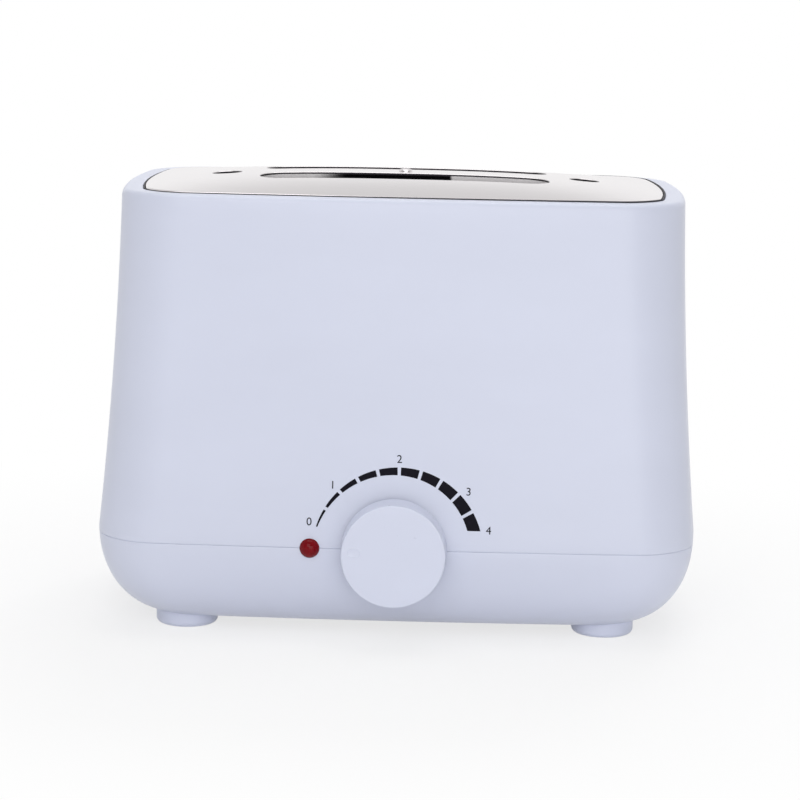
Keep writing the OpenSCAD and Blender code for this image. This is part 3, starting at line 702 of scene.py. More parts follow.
def upper_shell_mesh():
    casing = Casing()
    size = casing.size
    rim, wall = size.rim_height, size.wall
    ledge = rim - LEDGE_DROP
    opening = size.rim_band + LEDGE_WIDTH
    side_low, side_high = size.seam_height + SEAM_ROUND, rim - size.rim_fillet
    rings = seam_edge(casing, 1)[::-1]
    rings += [casing.ring(side_low + (casing.belly - side_low) * k / 3) for k in (1, 2)]
    rings += [casing.ring(casing.belly + (side_high - casing.belly) * k / 26) for k in range(27)]
    for k in range(1, 9):
        turn = radians(90 * k / 8)
        half = casing.side_half(rim, size.rim_fillet * (1 - cos(turn)))
        rings.append(casing.at(casing.outline(*half), rim - size.rim_fillet * (1 - sin(turn))))
    edge = 0.6 * MM         # rounding of the band's inner edge
    rings.append(casing.rim_ring((size.rim_fillet + size.rim_band - edge) / 2, rim))
    rings += [casing.rim_ring(size.rim_band - edge + edge * sin(radians(t)), rim - edge * (1 - cos(radians(t))))
              for t in (0, 22, 45, 67, 90)]
    rings += [casing.rim_ring(size.rim_band, ledge), casing.rim_ring(opening, ledge),
              casing.rim_ring(opening, ledge - wall), casing.rim_ring(size.rim_band - 2 * MM, ledge - wall - 1 * MM)]
    inner_high = ledge - wall - 2 * MM
    rings += [casing.ring(inner_high + (casing.belly - inner_high) * k / 10, wall) for k in range(11)]
    rings.append(casing.ring(size.seam_height, wall))
    tools = bmesh.new()
    seam_hole_cutters(tools)
    shell = cut(lofted("upper_housing_blank", rings, loop=True), to_mesh(tools, "seam_holes"), "upper_housing")
    bm = bmesh.new()
    bm.from_mesh(shell)
    add_bosses(bm, DECK_BOSS, ledge - 28 * MM, ledge - wall + 0.5 * MM)
    add_bosses(bm, CASING_BOSS, size.seam_height, size.seam_height + 34 * MM)
    return to_mesh(bm, "upper_housing")


VENT_ROWS = range(-3, 4)            # slots in the underside, on each side of the middle
VENT_PITCH = 6 * MM
VENT_MIDDLE = (52 * MM, -4 * MM)
VENT_LENGTH, VENT_WIDTH, VENT_RADIUS = 34 * MM, 3 * MM, 1.4 * MM
SCREW_SEAT = 23 * MM                # where the casing screws' heads bear
SCREW_HOLE, HEAD_HOLE, HEAD_MOUTH = 1.65 * MM, 3.6 * MM, 4.4 * MM       # radii
FOOT_PLACE = (86.4 * MM, 43.5 * MM)
FOOT_SEAT = 2.8 * MM
GLAND_FLANGE = 2 * MM
GLAND_HOLE, GLAND_SEAT = 5.65 * MM, 7.7 * MM                            # radii
PAD_RADIUS, PAD_DEPTH = 9.5 * MM, 8 * MM


def base_cutters(casing):
    """Vent slots, screw recesses and the gland's hole, each with an eased mouth, and the seam's plain holes."""
    size = casing.size
    floor, top = size.floor_height, size.seam_height + 1 * MM
    bm = bmesh.new()
    for sx in (-1, 1):
        for k in VENT_ROWS:
            x, y = sx * VENT_MIDDLE[0] + k * VENT_PITCH, MIDDLE_Y + VENT_MIDDLE[1]
            points = [(x + px, y + py) for px, py in rounded_slot(VENT_WIDTH, VENT_LENGTH, VENT_RADIUS, 6)]
            prism(bm, points, [(floor - 1 * MM, 0.5 * MM), (floor, 0.45 * MM), (floor + 0.45 * MM, 0),
                               (floor + size.wall + 3 * MM, 0)])
    for x, y in corners(CASING_BOSS):
        mouth = casing.underside(x, y)
        add_lathe(bm, [(0, 0), (HEAD_MOUTH, 0), (HEAD_MOUTH, mouth - 0.5 * MM), (HEAD_HOLE, mouth + 1.2 * MM),
                       (HEAD_HOLE, SCREW_SEAT), (SCREW_HOLE, SCREW_SEAT), (SCREW_HOLE, top), (0, top)],
                  Matrix.Translation((x, y, 0)), 48)
    face, middle_z = gland_face()
    add_lathe(bm, [(0, face - 20 * MM), (GLAND_HOLE, face - 20 * MM), (GLAND_HOLE, face), (GLAND_SEAT, face),
                   (GLAND_SEAT + 0.7 * MM, face + 9 * MM), (0, face + 9 * MM)],
              along((0, 0, middle_z), (0, 1, 0)), 64)
    seam_hole_cutters(bm)
    return to_mesh(bm, "base_tools")


def gland_face():
    """Where the gland's flange bears: its y and the height of its middle."""
    return GLAND_HIGH.y - GLAND_FLANGE, (GLAND_LOW.z + GLAND_HIGH.z) / 2


def add_gland_pad(bm, casing, steps=40):
    """The thick round pad behind the gland, which ends flush with the bowl where the bowl cuts across it."""
    face, middle_z = gland_face()
    rings = []
    for radius, back in ((3 * MM, True), (PAD_RADIUS, True), (PAD_RADIUS, False), (7 * MM, False), (3 * MM, False)):
        ring = []
        for x, rise in circle(radius, steps):
            z = middle_z + rise
            bowl = 2 * MIDDLE_Y - casing.front(x, z).y - 0.2 * MM
            ring.append(Vector((x, face - PAD_DEPTH if back else min(face, bowl), z)))
        rings.append(ring)
    add_loft(bm, rings)


def base_shell_mesh():
    casing = Casing()
    size = casing.size
    seam, floor, wall = size.seam_height, size.floor_height, size.wall
    span = casing.belly - floor

    def turns(inset, top):
        """Heights round the bowl's curve, even in angle, up to a top."""
        depth = span - inset
        last = acos(max(0.0, (casing.belly - top) / depth))
        return [casing.belly - depth * cos(last * k / 22) for k in range(22)] + [top]

    outer = [casing.ring(z) for z in turns(0.0, seam - SEAM_ROUND)]
    inner = [casing.ring(z, wall) for z in turns(wall, seam)]
    lip_top = seam + LIP_HEIGHT
    lip = [at_height(casing.ring(seam, wall + LIP_GAP + inset), z)
           for z, inset in ((seam, 0), (lip_top - LIP_EASE, 0), (lip_top, LIP_EASE), (lip_top, LIP_THICK - LIP_EASE),
                            (lip_top - LIP_EASE, LIP_THICK), (seam - 3 * MM, LIP_THICK))]
    rings = outer + seam_edge(casing, -1)[1:] + lip + [ring for ring in inner[::-1] if ring[0].z < seam - 4 * MM]
    bm = bmesh.new()
    bm.from_mesh(lofted("base_blank", rings))
    add_bosses(bm, CASING_BOSS, 8 * MM, seam)
    add_bosses(bm, FOOT_PLACE, floor + 0.5 * MM, 17 * MM)
    add_gland_pad(bm, casing)
    return cut(to_mesh(bm, "base_blank"), base_cutters(casing), "base_bowl")


# ---- Deck ----

SHEET = 1.2 * MM            # thickness of the steel
SKIRT_ROUND = 1.4 * MM      # how far the outer edge rolls over
LIP_ROUND = 0.45 * MM       # how far the edges of the slots and holes roll over
GRID = 2.6 * MM             # spacing of the dome's points
ROLL_STEPS = 5


class Deck:
    """The domed deck's surface."""

    def __init__(self):
        self.size = sizes()
        self.casing = Casing()
        self.a = (DECK_HIGH.x - DECK_LOW.x) / 2
        self.b = (DECK_HIGH.y - DECK_LOW.y) / 2
        self.r = self.size.rim_radius - (self.size.rim_width / 2 - self.a)
        self.edge = self.size.rim_height + DECK_EDGE

    def height(self, x, y):
        along_share = min(1, abs(x / self.a)) ** DOME_LONG
        across_share = min(1, abs((y - MIDDLE_Y) / self.b)) ** DOME_ACROSS
        return self.edge + self.size.dome_height * (1 - along_share) * (1 - across_share)

    def normal(self, x, y):
        step = 0.2 * MM
        slope_x = (self.height(x + step, y) - self.height(x - step, y)) / (2 * step)
        slope_y = (self.height(x, y + step) - self.height(x, y - step)) / (2 * step)
        return Vector((-slope_x, -slope_y, 1)).normalized()

    def outline(self, inset):
        return self.casing.outline(self.a - inset, self.b - inset, self.r - inset)

    def slot(self, sy, grow):
        size = self.size
        return split_long([(x, y + MIDDLE_Y + sy * size.slot_offset) for x, y in rounded_slot(
            size.slot_length + 2 * grow, size.slot_width + 2 * grow, size.slot_radius + grow)][::-1], GRID)

    def vent(self, sx, grow, steps=48):
        return [(sx * self.size.vent_offset + x, MIDDLE_Y - y)
                for x, y in circle(self.size.vent_width / 2 + grow, steps)]


def near(loop, x, y, reach):
    return any((px - x) ** 2 + (py - y) ** 2 < reach * reach for px, py in loop)


def inside(loop, x, y):
    """True if the point lies in the closed outline."""
    odd = False
    for (x0, y0), (x1, y1) in zip(loop, loop[1:] + loop[:1]):
        if (y0 > y) != (y1 > y) and x < (x1 - x0) * (y - y0) / (y1 - y0) + x0:
            odd = not odd
    return odd


def deck_mesh():
    """One sheet: the dome, its rounded skirt, and lips that turn down into the slots and round holes."""
    deck = Deck()
    skirt = [(x, y + MIDDLE_Y) for x, y in deck.outline(SKIRT_ROUND)]
    holes = [deck.slot(-1, LIP_ROUND), deck.slot(1, LIP_ROUND), deck.vent(-1, 0.5 * MM), deck.vent(1, 0.5 * MM)]
    loops = [skirt] + holes

    def on_sheet(x, y):
        return inside(skirt, x, y) and not any(inside(hole, x, y) for hole in holes)

    points, edges = [], []
    for loop in loops:
        first = len(points)
        points += [Vector(p) for p in loop]
        edges += [(first + k, first + (k + 1) % len(loop)) for k in range(len(loop))]
    columns, rows = int(deck.a / GRID), int(deck.b / GRID)
    for i in range(-columns, columns + 1):
        for j in range(-rows, rows + 1):
            x, y = i * GRID, MIDDLE_Y + j * GRID
            if on_sheet(x, y) and not any(near(loop, x, y, 0.6 * GRID) for loop in loops):
                points.append(Vector((x, y)))
    flat, _, faces, _, _, _ = delaunay_2d_cdt(points, edges, [], 0, 1e-7)
    if len(flat) != len(points):
        raise RuntimeError("The deck's outlines meet")
    bm = bmesh.new()
    top = [bm.verts.new((p.x, p.y, deck.height(p.x, p.y))) for p in flat]
    for face in faces:
        x = sum(flat[k].x for k in face) / len(face)
        y = sum(flat[k].y for k in face) / len(face)
        if on_sheet(x, y):
            bm.faces.new([top[k] for k in face])

    def turn_down(row, rings, low):
        """Rolls an edge over and down, through outlines that stand further and further into the opening."""
        drops = [LIP_ROUND * (1 - cos(swing)) for swing in swings]
        levels = [[(x, y, deck.height(*start) - drop) for (x, y), start in zip(ring, rings[0])]
                  for ring, drop in zip(rings[1:], drops[1:])]
        for level in levels + [[(x, y, low) for x, y in rings[-1]]]:
            new = [bm.verts.new(point) for point in level]
            bridge(bm, row, new)
            row = new

    swings = [radians(90 * k / ROLL_STEPS) for k in range(ROLL_STEPS + 1)]
    rolled = [[[(x, y + MIDDLE_Y) for x, y in deck.outline(SKIRT_ROUND * (1 - sin(s)))] for s in swings]]
    for hole, edge in zip(holes, (deck.slot(-1, 0), deck.slot(1, 0), deck.vent(-1, 0), deck.vent(1, 0))):
        rolled.append([shrink(hole, edge, sin(s)) for s in swings])
    vent_low = deck.height(deck.size.vent_offset, MIDDLE_Y) - SHEET
    first = 0
    for loop, rings, low in zip(loops, rolled, (DECK_LOW.z, DECK_LOW.z, DECK_LOW.z, vent_low, vent_low)):
        turn_down(top[first:first + len(loop)], [loop] + rings[1:], low)
        first += len(loop)
    bmesh.ops.recalc_face_normals(bm, faces=bm.faces)
    if sum(face.normal.z for face in bm.faces) < 0:
        bmesh.ops.reverse_faces(bm, faces=bm.faces)
    mesh = bpy.data.meshes.new("deck_sheet")
    bm.to_mesh(mesh)
    bm.free()
    return deck, mesh


def shrink(outer, inner, share):
    """Points between two outlines of nearly the same shape, which may differ in their counts."""
    made = []
    for k, (x, y) in enumerate(outer):
        px, py = inner[k] if len(inner) == len(outer) else min(
            inner, key=lambda p: (p[0] - x) ** 2 + (p[1] - y) ** 2)
        made.append((x + (px - x) * share, y + (py - y) * share))
    return made


def thickened(mesh, thickness, name):
    """The sheet as a closed solid, thickened downwards."""
    blank = bpy.data.objects.new(name + "_blank", mesh)
    bpy.context.scene.collection.objects.link(blank)
    modifier = blank.modifiers.new("sheet", "SOLIDIFY")
    modifier.thickness, modifier.offset, modifier.use_even_offset = thickness, -1.0, False
    result = bpy.data.meshes.new_from_object(blank.evaluated_get(bpy.context.evaluated_depsgraph_get()))
    bpy.data.objects.remove(blank)
    result.name = name
    return result


def true_normals(deck, mesh):
    """Gives the dome's vertices the exact normals of its surface, so that its reflections run clean."""
    smooth(mesh, 40)
    normals = []
    for vertex in mesh.vertices:
        x, y, z = vertex.co
        on_top = abs(z - deck.height(x, y)) < 1e-6
        normals.append(deck.normal(x, y) if on_top else Vector((0, 0, 0)))
    mesh.normals_split_custom_set_from_vertices(normals)
    return mesh


# ---- Operators ----

class Step(bpy.types.Operator):
    """Runs its build method and finishes."""
    bl_options = {"REGISTER", "UNDO"}

    def execute(self, context):
        self.build()
        return {"FINISHED"}


class HEATER_OT_casings(Step):
    """Build the upper housing and the bowl-shaped base"""
    bl_idname = "heater.casings"
    bl_label = "Casings"

    def build(self):
        new_piece("upper_housing", upper_shell_mesh(), "casing_satin", ["upper_casing"])
        new_piece("base_bowl", base_shell_mesh(), "casing_satin", ["base_casing"])


class HEATER_OT_deck(Step):
    """Build the domed steel deck with its slots, its seal and its centre screw"""
    bl_idname = "heater.deck"
    bl_label = "Deck"

    def build(self):
        deck, sheet = deck_mesh()
        mesh = true_normals(deck, thickened(sheet, SHEET, "domed_deck"))
        new_piece("domed_deck", mesh, "deck_steel", ["deck_plate"])
        self.seal(deck)
        self.screw(deck)

    @staticmethod
    def proud(share):
        """How far the seal stands above the rim: it is squeezed out a little further towards the right."""
        return (0.42 + 0.18 * share) * MM

    def seal(self, deck):
        casing, size = deck.casing, deck.size
        ledge, skirt_low = size.rim_height - LEDGE_DROP, DECK_LOW.z
        inner, bead = size.rim_band + LEDGE_WIDTH - 1 * MM, size.rim_band + 0.7 * MM
        outer = size.rim_band + 0.02 * MM
        middle, half = (outer + bead) / 2, (bead - outer) / 2
        rings = [casing.rim_ring(inner, ledge), casing.rim_ring(outer, ledge)]
        for t in range(0, 181, 20):
            ring = casing.rim_ring(middle - half * cos(radians(t)), 0)
            drop = half * (1 - sin(radians(t)))
            rings.append([Vector((p.x, p.y, size.rim_height + self.proud(p.x / deck.a) - drop)) for p in ring])
        rings += [casing.rim_ring(bead, skirt_low), casing.rim_ring(inner, skirt_low)]
        mesh = lofted("deck_seal", rings, loop=True, angle=50)
        new_piece("deck_seal", mesh, "seal_rubber", ["deck_gasket"])

    def screw(self, deck):
        head, edge, rise, shank = 2.9 * MM, 0.3 * MM, 1.2 * MM, 2 * MM
        end, under = -8.4 * MM, 0.02 * MM
        profile = [(0, end), (shank - 0.5 * MM, end), (shank, end + 0.5 * MM), (shank, under), (head, under),
                   (head, edge)]
        profile += [(head * cos(radians(t)), edge + (rise - edge) * sin(radians(t))) for t in range(10, 90, 10)]
        place = Matrix.Translation((0, MIDDLE_Y, deck.height(0, MIDDLE_Y)))
        blank = lathed("deck_screw_blank", profile + [(0, rise)], place, 48)
        cross = cross_cutter(place @ Matrix.Translation((0, 0, rise)), 1.5 * MM)
        new_piece("deck_centre_screw", cut(blank, cross, "deck_centre_screw"), "deck_steel",
                  ["deck_screw"])


def cross_cutter(place, reach):
    """A tapered cross-shaped recess that points down the local -Z axis."""
    bm = bmesh.new()
    for turn in (0, pi / 2):
        spin = place @ Matrix.Rotation(turn, 4, "Z")
        add_loft(bm, [[spin @ Vector((sx * long_, sy * wide / 1.4, z))
                       for sx, sy in ((1, -1), (1, 1), (-1, 1), (-1, -1))]
                      for z, long_, wide in ((-1.5 * MM, 0.35 * reach, 0.20 * reach), (0.5 * MM, reach, 0.26 * reach))])
    return to_mesh(bm, "cross")


KNOB_GAP, KNOB_TAPER = 0.7 * MM, 0.4 * MM       # clear of the casing, and narrower at the face
KNOB_FILLET, KNOB_WALL = 0.6 * MM, 2 * MM
HUB_RADIUS, HUB_BORE = 5.6 * MM, 3.05 * MM
HUB_LENGTH, HUB_FLOOR = 8.6 * MM, 1.4 * MM
MARK_TURN, MARK_INSET = 176, 5.1 * MM           # degrees round the face at rest, and in from its edge
MARK_SIZE = (3.2 * MM, 4.8 * MM, 1.2 * MM)      # width, length and corner radius


class HEATER_OT_knob(Step):
    """Build the turning knob with its recessed mark"""
    bl_idname = "heater.knob"
    bl_label = "Knob"

    def build(self):
        face, axis = KNOB_LOW.y, Vector(DIAL["pos_m"])
        outer, skirt = (KNOB_HIGH.x - KNOB_LOW.x) / 2, SHELL_LOW.y - KNOB_GAP - face
        front = outer - KNOB_TAPER
        floor, bevel = KNOB_WALL + HUB_FLOOR, 0.15 * MM
        profile = [(0, 0.12 * MM), (front * 0.5, 0.08 * MM), (front - KNOB_FILLET - 1.5 * MM, 0.0)]
        profile += arc(front - KNOB_FILLET, KNOB_FILLET, KNOB_FILLET, -90, 0, 9)
        profile += [(outer - bevel, skirt - 0.4 * MM), (outer, skirt - bevel), (outer - bevel, skirt),
                    (outer - KNOB_WALL, skirt), (front - KNOB_WALL, KNOB_WALL + 1 * MM),
                    (front - KNOB_WALL - 1 * MM, KNOB_WALL), (HUB_RADIUS, KNOB_WALL),
                    (HUB_RADIUS, KNOB_WALL + HUB_LENGTH), (HUB_BORE, KNOB_WALL + HUB_LENGTH), (HUB_BORE, floor),
                    (0, floor)]
        blank = lathed("knob_blank", profile, along((axis.x, face, axis.z), (0, 1, 0)), 160)
        to_mark = Matrix.Translation((axis.x, face, axis.z)) @ Matrix.Rotation(radians(90 - MARK_TURN), 4, "Y") \
            @ Matrix.Translation((0, 0, front - MARK_INSET)) @ Matrix.Rotation(radians(90), 4, "X")
        mark = [[to_mark @ Vector((x * grow, y * grow, z)) for x, y in rounded_slot(*MARK_SIZE, 8)]
                for z, grow in ((-0.28 * MM, 0.88), (-0.22 * MM, 0.97), (-0.08 * MM, 1.0), (0.06 * MM, 1.06),
                                (1 * MM, 1.1))]
        mesh = cut(blank, lofted("mark", mark), "dial_knob")
        new_piece("dial_knob", mesh, "knob_satin", ["knob"], "dial")


SEGMENTS = 10
SEGMENT_PITCH = 14.9        # degrees
SEGMENT_GAP = 1.4 * MM
SCALE_X, SCALE_DROP = 1.5 * MM, 1.0 * MM      # the scale's centre from the middle and below the seam
INK_FILM = 0.05 * MM
NUMERAL_HEIGHT = 3.2 * MM
NUMERAL_GAP = 3.2 * MM
NUMERAL_TURNS = (162, 135, 90, 42, 15)      # degrees round the scale, from 0 to 4


class HEATER_OT_scale(Step):
    """Print the growing bars and the plain numerals round the knob"""
    bl_idname = "heater.scale"
    bl_label = "Printed scale"

    def build(self):
        casing, size = Casing(), sizes()
        self.first = 90 + SEGMENTS / 2 * SEGMENT_PITCH
        gap = degrees(SEGMENT_GAP / size.scale_radius)
        bm = bmesh.new()
        for number in range(SEGMENTS):
            left = self.first - number * SEGMENT_PITCH - gap / 2
            right = left - SEGMENT_PITCH + gap
            self.bar(bm, casing, left, right, level_end=number == SEGMENTS - 1)
        new_piece("scale_bars", to_mesh(bm, "scale_bars"), "dial_ink")
        self.numerals(casing, size)

    def width(self, turn):
        """The band grows thicker all the way round."""
        share = (self.first - turn) / (SEGMENTS * SEGMENT_PITCH)
        return (0.5 + 6.1 * share - 1.5 * share * share) * MM

    def bar(self, bm, casing, start, end, level_end, steps=8):
        """One bar of the scale, as a thin film on the curved front."""
        radius, middle_z = casing.size.scale_radius, casing.size.seam_height - SCALE_DROP
        foot = radius * sin(radians(end)) - 0.3 * MM
        rows = ([], [])
        for k in range(steps + 1):
            for row, inner in zip(rows, (True, False)):
                last = end
                if level_end:
                    last = degrees(asin(foot / (radius - self.width(end) if inner else radius)))
                turn = start + (last - start) * k / steps
                r = radius - self.width(turn) if inner else radius
                row.append(casing.front(SCALE_X + r * cos(radians(turn)), middle_z + r * sin(radians(turn))))
        outline = rows[0] + rows[1][::-1]
        back, front = [[bm.verts.new(point - Vector((0, lift, 0))) for point in outline]
                       for lift in (-INK_FILM, INK_FILM)]
        for side in (back, front):
            for k in range(steps):
                bm.faces.new((side[k], side[k + 1], side[-2 - k], side[-1 - k]))
        bridge(bm, back, front)

    def numerals(self, casing, size):
        """The numerals 0 to 4, at the listed turns outside the bars and each upright."""
        joined = bmesh.new()
        r = size.scale_radius + NUMERAL_GAP
        for number, turn in enumerate(NUMERAL_TURNS):
            middle = casing.front(SCALE_X + r * cos(radians(turn)),
                                  size.seam_height - SCALE_DROP + r * sin(radians(turn)))
            above = casing.front(middle.x, middle.z + 1 * MM)
            beside = casing.front(middle.x + 1 * MM, middle.z)
            up, right = (above - middle).normalized(), (beside - middle).normalized()
            out = right.cross(up).normalized()
            curve = bpy.data.curves.new("numeral", "FONT")
            curve.body, curve.align_x, curve.align_y = str(number), "CENTER", "CENTER"
            curve.size, curve.extrude, curve.resolution_u = NUMERAL_HEIGHT / 0.7, INK_FILM, 8
            item = bpy.data.objects.new("numeral", curve)
            bpy.context.scene.collection.objects.link(item)
            glyph = bpy.data.meshes.new_from_object(item.evaluated_get(bpy.context.evaluated_depsgraph_get()))
            bpy.data.objects.remove(item)
            place = Matrix((right, up, out)).transposed().to_4x4()
            place.translation = middle
            glyph.transform(place)
            joined.from_mesh(glyph)
        bmesh.ops.remove_doubles(joined, verts=joined.verts, dist=1e-7)
        new_piece("scale_numerals", to_mesh(joined, "scale_numerals"), "dial_ink")


class HEATER_OT_lens(Step):
    """Build the red pilot lens"""
    bl_idname = "heater.lens"
    bl_label = "Pilot lens"

    def build(self):
        radius, size = (LENS_HIGH.x - LENS_LOW.x) / 2, sizes()
        middle_x, back = LENS_LOW.x + radius, LENS_HIGH.y - LENS_LOW.y
        out = SHELL_LOW.y + size.front_bow * (middle_x / (size.belly_width / 2)) ** 2 - LENS_LOW.y
        sphere = (radius * radius + out * out) / (2 * out)
        shaft, rim, wall = radius - 0.5 * MM, out + 0.06 * MM, 1 * MM
        profile = arc(0, sphere, sphere, -90, degrees(asin(radius / sphere)) - 90, 16)[:-1]
        profile += [(radius - 0.05 * MM, out - 0.12 * MM), (radius, out - 0.02 * MM), (radius, rim), (shaft, rim),
                    (shaft, back), (shaft - wall, back), (shaft - wall, out + wall), (0, out + wall)]
        mesh = lathed("pilot_lens", profile, along((middle_x, LENS_LOW.y, size.seam_height), (0, 1, 0)))
        new_piece("pilot_lens", mesh, "lens_red", ["indicator_lens"])


class HEATER_OT_feet(Step):
    """Build the four feet, shaped to the bowl above them"""
    bl_idname = "heater.feet"
    bl_label = "Feet"

    def build(self):
        casing = Casing()
        for name, sx, sy in (("front_left", -1, -1), ("front_right", 1, -1),
                             ("rear_left", -1, 1), ("rear_right", 1, 1)):
            mesh = self.foot(casing, sx * FOOT_PLACE[0], MIDDLE_Y + sy * FOOT_PLACE[1])
            new_piece("rest_foot_" + name, mesh, "foot_satin", ["foot_" + name])

    def foot(self, casing, x, y, steps=72):
        """A turned foot whose upper edge follows the bowl, a little inside its wall."""
        radius, fillet, recess, sink = (FOOT_HIGH.x - FOOT_LOW.x) / 2, 2.2 * MM, 3.5 * MM, 0.3 * MM
        lower = [(SCREW_HOLE, casing.size.floor_height + sink), (SCREW_HOLE, FOOT_SEAT), (recess, FOOT_SEAT),
                 (recess, 0.3 * MM), (recess + 0.3 * MM, 0)] + arc(radius - fillet, fillet, fillet, -90, 0, 10)
        rings = [[(x + dx, y + dy, z) for dx, dy in circle(r, steps)] for r, z in lower]
        for share in (1.0, 0.97, 0.85, 0.6, 0.35):
            under = 0.0 if share == 1.0 else sink
            rings.append([(x + dx, y + dy, max(casing.underside(x + dx, y + dy) + under, fillet + 0.5 * MM))
                          for dx, dy in circle(radius * share, steps)])
        return lofted("foot", rings, loop=True)


class HEATER_OT_gland(Step):
    """Build the rubber cord gland at the back"""
    bl_idname = "heater.gland"
    bl_label = "Cord gland"

    def build(self):
        bore, flange, back = 3.6 * MM, (GLAND_HIGH.x - GLAND_LOW.x) / 2, GLAND_HIGH.y - GLAND_LOW.y
        shaft, ease = flange - 1.8 * MM, 0.5 * MM
        profile = [(bore, 0), (shaft - ease, 0), (shaft, ease)]
        for k in range(3):          # grooves that let the bush flex with the cord
            low = 2.2 * MM + k * 2.6 * MM
            profile += [(shaft, low), (shaft - ease, low + ease), (shaft - ease, low + 1.1 * MM),
                        (shaft, low + 1.6 * MM)]
        profile += [(shaft, back - 2 * MM), (flange - 0.1 * MM, back - 2 * MM), (flange, back - 1.8 * MM)]
        profile += arc(flange - 0.9 * MM, back - 0.9 * MM, 0.9 * MM, 0, 90)
        profile += arc(bore + 0.8 * MM, back - 0.8 * MM, 0.8 * MM, 90, 180)
        mesh = lathed("cord_gland_bush", profile, along((0, GLAND_LOW.y, gland_face()[1]), (0, 1, 0)), 72)
        new_piece("cord_gland_bush", mesh, "seal_rubber", ["cord_gland"])


def screw_mesh(shank):
    """A self-tapping pan-head screw with a cross recess, seated at z = 0 with its head towards +Z."""
    thread, pitch, head, edge, top = 1.6 * MM, 0.9 * MM, 3.2 * MM, 1.0 * MM, 2.2 * MM
    profile = [(0, -shank), (1.0 * MM, -shank), (thread, -shank + 0.8 * MM)]
    for k in range(int((shank - 3 * MM) / pitch)):
        low = -shank + 1.4 * MM + k * pitch
        profile += [(thread - 0.25 * MM, low), (thread, low + pitch / 2)]
    profile += [(thread, -0.6 * MM), (thread, 0), (head, 0), (head, edge)]
    profile += [(head - 1.3 * MM * (1 - cos(radians(t))), edge + (top - edge) * sin(radians(t)))
                for t in (20, 45, 70, 90)]
    blank = lathed("screw_blank", profile + [(0, top)], steps=36)
    return cut(blank, cross_cutter(Matrix.Translation((0, 0, top)), 1.8 * MM), "screw")


def screw_group(node, places, shank, upwards):
    """Like screws seated at the given places, which point up or down."""
    screw, joined = screw_mesh(shank), bmesh.new()
    for number, place in enumerate(places):
        turned = screw.copy()
        turned.transform(along(place, (0, 0, -1 if upwards else 1), radians(37 * number)))
        joined.from_mesh(turned)
    new_piece(node + "_set", to_mesh(joined, node), "zinc_plate", [node])


class HEATER_OT_screws(Step):
    """Build the casing screws and foot screws that show underneath"""
    bl_idname = "heater.screws"
    bl_label = "Screws"

    def build(self):
        for node, place, seat, shank, upwards in (
                ("casing_screws", CASING_BOSS, SCREW_SEAT, 36 * MM, True),
                ("foot_screws", FOOT_PLACE, FOOT_SEAT, 12 * MM, True),
                ("carrier_screws", DECK_BOSS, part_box("carrier_plate")[1].z, 14 * MM, False)):
            screw_group(node, [(x, y, seat) for x, y in corners(place)], shank, upwards)


CARRIED = {
    "zinc_plate": ["deck_standoff", "carrier_plate", "feeler_clip", "fuse_clip", "knob_spring", "spindle",
                   "thermostat_bracket", "thermostat_nut", "bracket_screws", "lens_clip", "block_screws",
                   "clamp_screws"],
    "well_coating": ["front_well", "rear_well"],
    "mica_board": ["front_heater", "rear_heater"],
    "felt_wrap": ["front_jacket", "rear_jacket"],
    "drawn_copper": ["feeler_bulb"],
    "glazed_ceramic": ["thermal_fuse", "thermostat_body"],
    "natural_nylon": ["terminal_block", "cord_clamp"],
    "turned_brass": ["terminal_screws"],
    "lamp_glass": ["neon_lamp"],
}


class HEATER_OT_inside(Step):
    """Give the inner pieces their finishes"""
    bl_idname = "heater.inside"
    bl_label = "Inner pieces"

    def build(self):
        made = finishes()
        for finish, nodes in CARRIED.items():
            for node in nodes:
                mesh = frame["nodes"][node].data
                mesh.materials.clear()
                mesh.materials.append(made[finish])


# ---- Studio ----

CAMERA_PLACE = (23.18 * MM, -1151.60 * MM, 282.25 * MM)
CAMERA_YAW, CAMERA_PITCH, CAMERA_ROLL = radians(1.167), radians(9.514), radians(1.195)
CAMERA_LENS, SENSOR = 123.66, 36.0      # millimetres, as the camera takes them


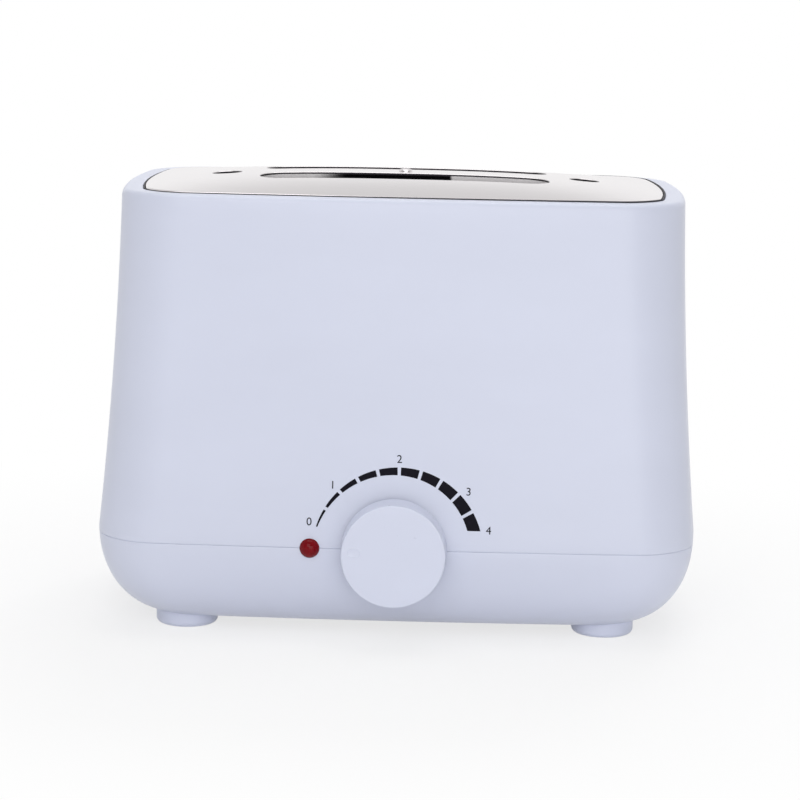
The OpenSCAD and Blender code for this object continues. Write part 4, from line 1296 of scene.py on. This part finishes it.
class HEATER_OT_studio(Step):
    """Set up the camera, the lamps, the floor and the backdrop"""
    bl_idname = "heater.studio"
    bl_label = "Studio"

    def build(self):
        self.camera()
        self.lamps()
        self.floor()
        self.world()
        bpy.context.scene.view_settings.view_transform = "Standard"

    def camera(self):
        data = bpy.data.cameras.new("view")
        data.lens, data.sensor_width, data.sensor_fit = CAMERA_LENS, SENSOR, "HORIZONTAL"
        view = bpy.data.objects.new("view", data)
        bpy.context.scene.collection.objects.link(view)
        view.matrix_world = Matrix.Translation(CAMERA_PLACE) @ Matrix.Rotation(CAMERA_YAW, 4, "Z") \
            @ Matrix.Rotation(pi / 2 - CAMERA_PITCH, 4, "X") @ Matrix.Rotation(CAMERA_ROLL, 4, "Z")
        bpy.context.scene.camera = view

    def lamps(self):
        for name, place, target, width, power in (
                ("key", (-0.40, -1.6, 1.1), (0, 0, 0.10), 1.1, 7.0),
                ("fill", (0.4, -1.7, 0.22), (0, 0, 0.10), 1.2, 8.3),
                ("top", (0.0, 0.1, 1.6), (0, 0, 0.15), 1.2, 7.0),
                ("rear", (0.35, 1.5, 1.5), (0, 0, 0.10), 1.1, 13.0)):
            data = bpy.data.lights.new(name, "AREA")
            data.shape, data.size, data.energy = "SQUARE", width, power
            lamp = bpy.data.objects.new(name, data)
            lamp.visible_glossy = name != "rear"      # it stands behind the white backdrop
            bpy.context.scene.collection.objects.link(lamp)
            aim = Vector(target) - Vector(place)
            lamp.matrix_world = Matrix.Translation(place) @ aim.to_track_quat("-Z", "Y").to_matrix().to_4x4()

    def floor(self):
        mesh = lathed("floor", [(0, 0), (0.25, 0), (0.6, 0), (3.0, 0), (3.0, -4 * MM), (0, -4 * MM)])
        floor = bpy.data.objects.new("studio_floor", mesh)
        bpy.context.scene.collection.objects.link(floor)
        material = bpy.data.materials.new("floor_paper")
        material.use_nodes = True
        net = Net(material.node_tree)
        where = net.node("ShaderNodeTexCoord")["Object"]
        tooth = net.noise(where, 900, 3.0)
        away = net.node("ShaderNodeVectorMath", {"operation": "LENGTH"}, {0: where})["Value"].step(0.15, 0.36)
        base = net.mix(tooth, (0.90, 0.90, 0.90), (0.94, 0.94, 0.94))
        paper = net.node("ShaderNodeBsdfDiffuse", inputs={"Color": base})[0]
        white = net.node("ShaderNodeEmission", inputs={"Color": (1, 1, 1, 1), "Strength": 1.0})[0]
        light = net.node("ShaderNodeLightPath")
        seen = (light["Is Camera Ray"] + light["Is Glossy Ray"] + light["Is Transmission Ray"]).clamped()
        factor = seen * (0.72 + away * 0.28)
        both = net.node("ShaderNodeMixShader", inputs={0: factor, 1: paper, 2: white})[0]
        net.node("ShaderNodeOutputMaterial", inputs={0: both})
        mesh.materials.append(material)

    def world(self):
        """Even pale light, with a white backdrop that fades overhead in reflections."""
        world = bpy.data.worlds.new("studio")
        world.use_nodes = True
        bpy.context.scene.world = world
        net = Net(world.node_tree)
        toward = net.node("ShaderNodeSeparateXYZ", inputs={0: net.node("ShaderNodeTexCoord")["Generated"]})
        light = net.node("ShaderNodeLightPath")
        mirrored = (light["Is Glossy Ray"] + light["Is Transmission Ray"]).clamped()
        backdrop = toward[2].step(0.12, 0.42, 1.0, 0.72) * toward[1].step(-0.5, 0.1, 0.55, 1.0)
        tent = abs(toward[0]).step(0.45, 0.95, 0.50, 0.22)
        level = tent + mirrored * (backdrop - tent)
        level = level + light["Is Camera Ray"] * (1.0 - level)
        sky = net.node("ShaderNodeBackground", inputs={"Color": (1, 1, 1, 1), "Strength": level})[0]
        net.node("ShaderNodeOutputWorld", inputs={0: sky})


STEPS = (HEATER_OT_casings, HEATER_OT_deck, HEATER_OT_knob, HEATER_OT_scale, HEATER_OT_lens, HEATER_OT_feet,
         HEATER_OT_gland, HEATER_OT_screws, HEATER_OT_inside, HEATER_OT_studio)


class HEATER_PT_panel(bpy.types.Panel):
    """Lists the steps that build the heater"""
    bl_idname = "HEATER_PT_panel"
    bl_label = "Wax Heater"
    bl_space_type = "VIEW_3D"
    bl_region_type = "UI"
    bl_category = "Wax Heater"

    def draw(self, context):
        for step in STEPS:
            self.layout.operator(step.bl_idname)
        for group in (sizes(), colours()):
            box = self.layout.box()
            for name in group.__annotations__:
                box.prop(group, name)


GROUPS = (HeaterSizes, HeaterColours)


def register():
    for cls in GROUPS + STEPS + (HEATER_PT_panel,):
        bpy.utils.register_class(cls)
    bpy.types.Scene.heater_sizes = PointerProperty(type=HeaterSizes)
    bpy.types.Scene.heater_colours = PointerProperty(type=HeaterColours)


def unregister():
    del bpy.types.Scene.heater_sizes
    del bpy.types.Scene.heater_colours
    for cls in reversed(GROUPS + STEPS + (HEATER_PT_panel,)):
        bpy.utils.unregister_class(cls)


def main():
    register()
    for step in STEPS:
        area, name = step.bl_idname.split(".")
        getattr(getattr(bpy.ops, area), name)()


if __name__ == "__main__":
    main()
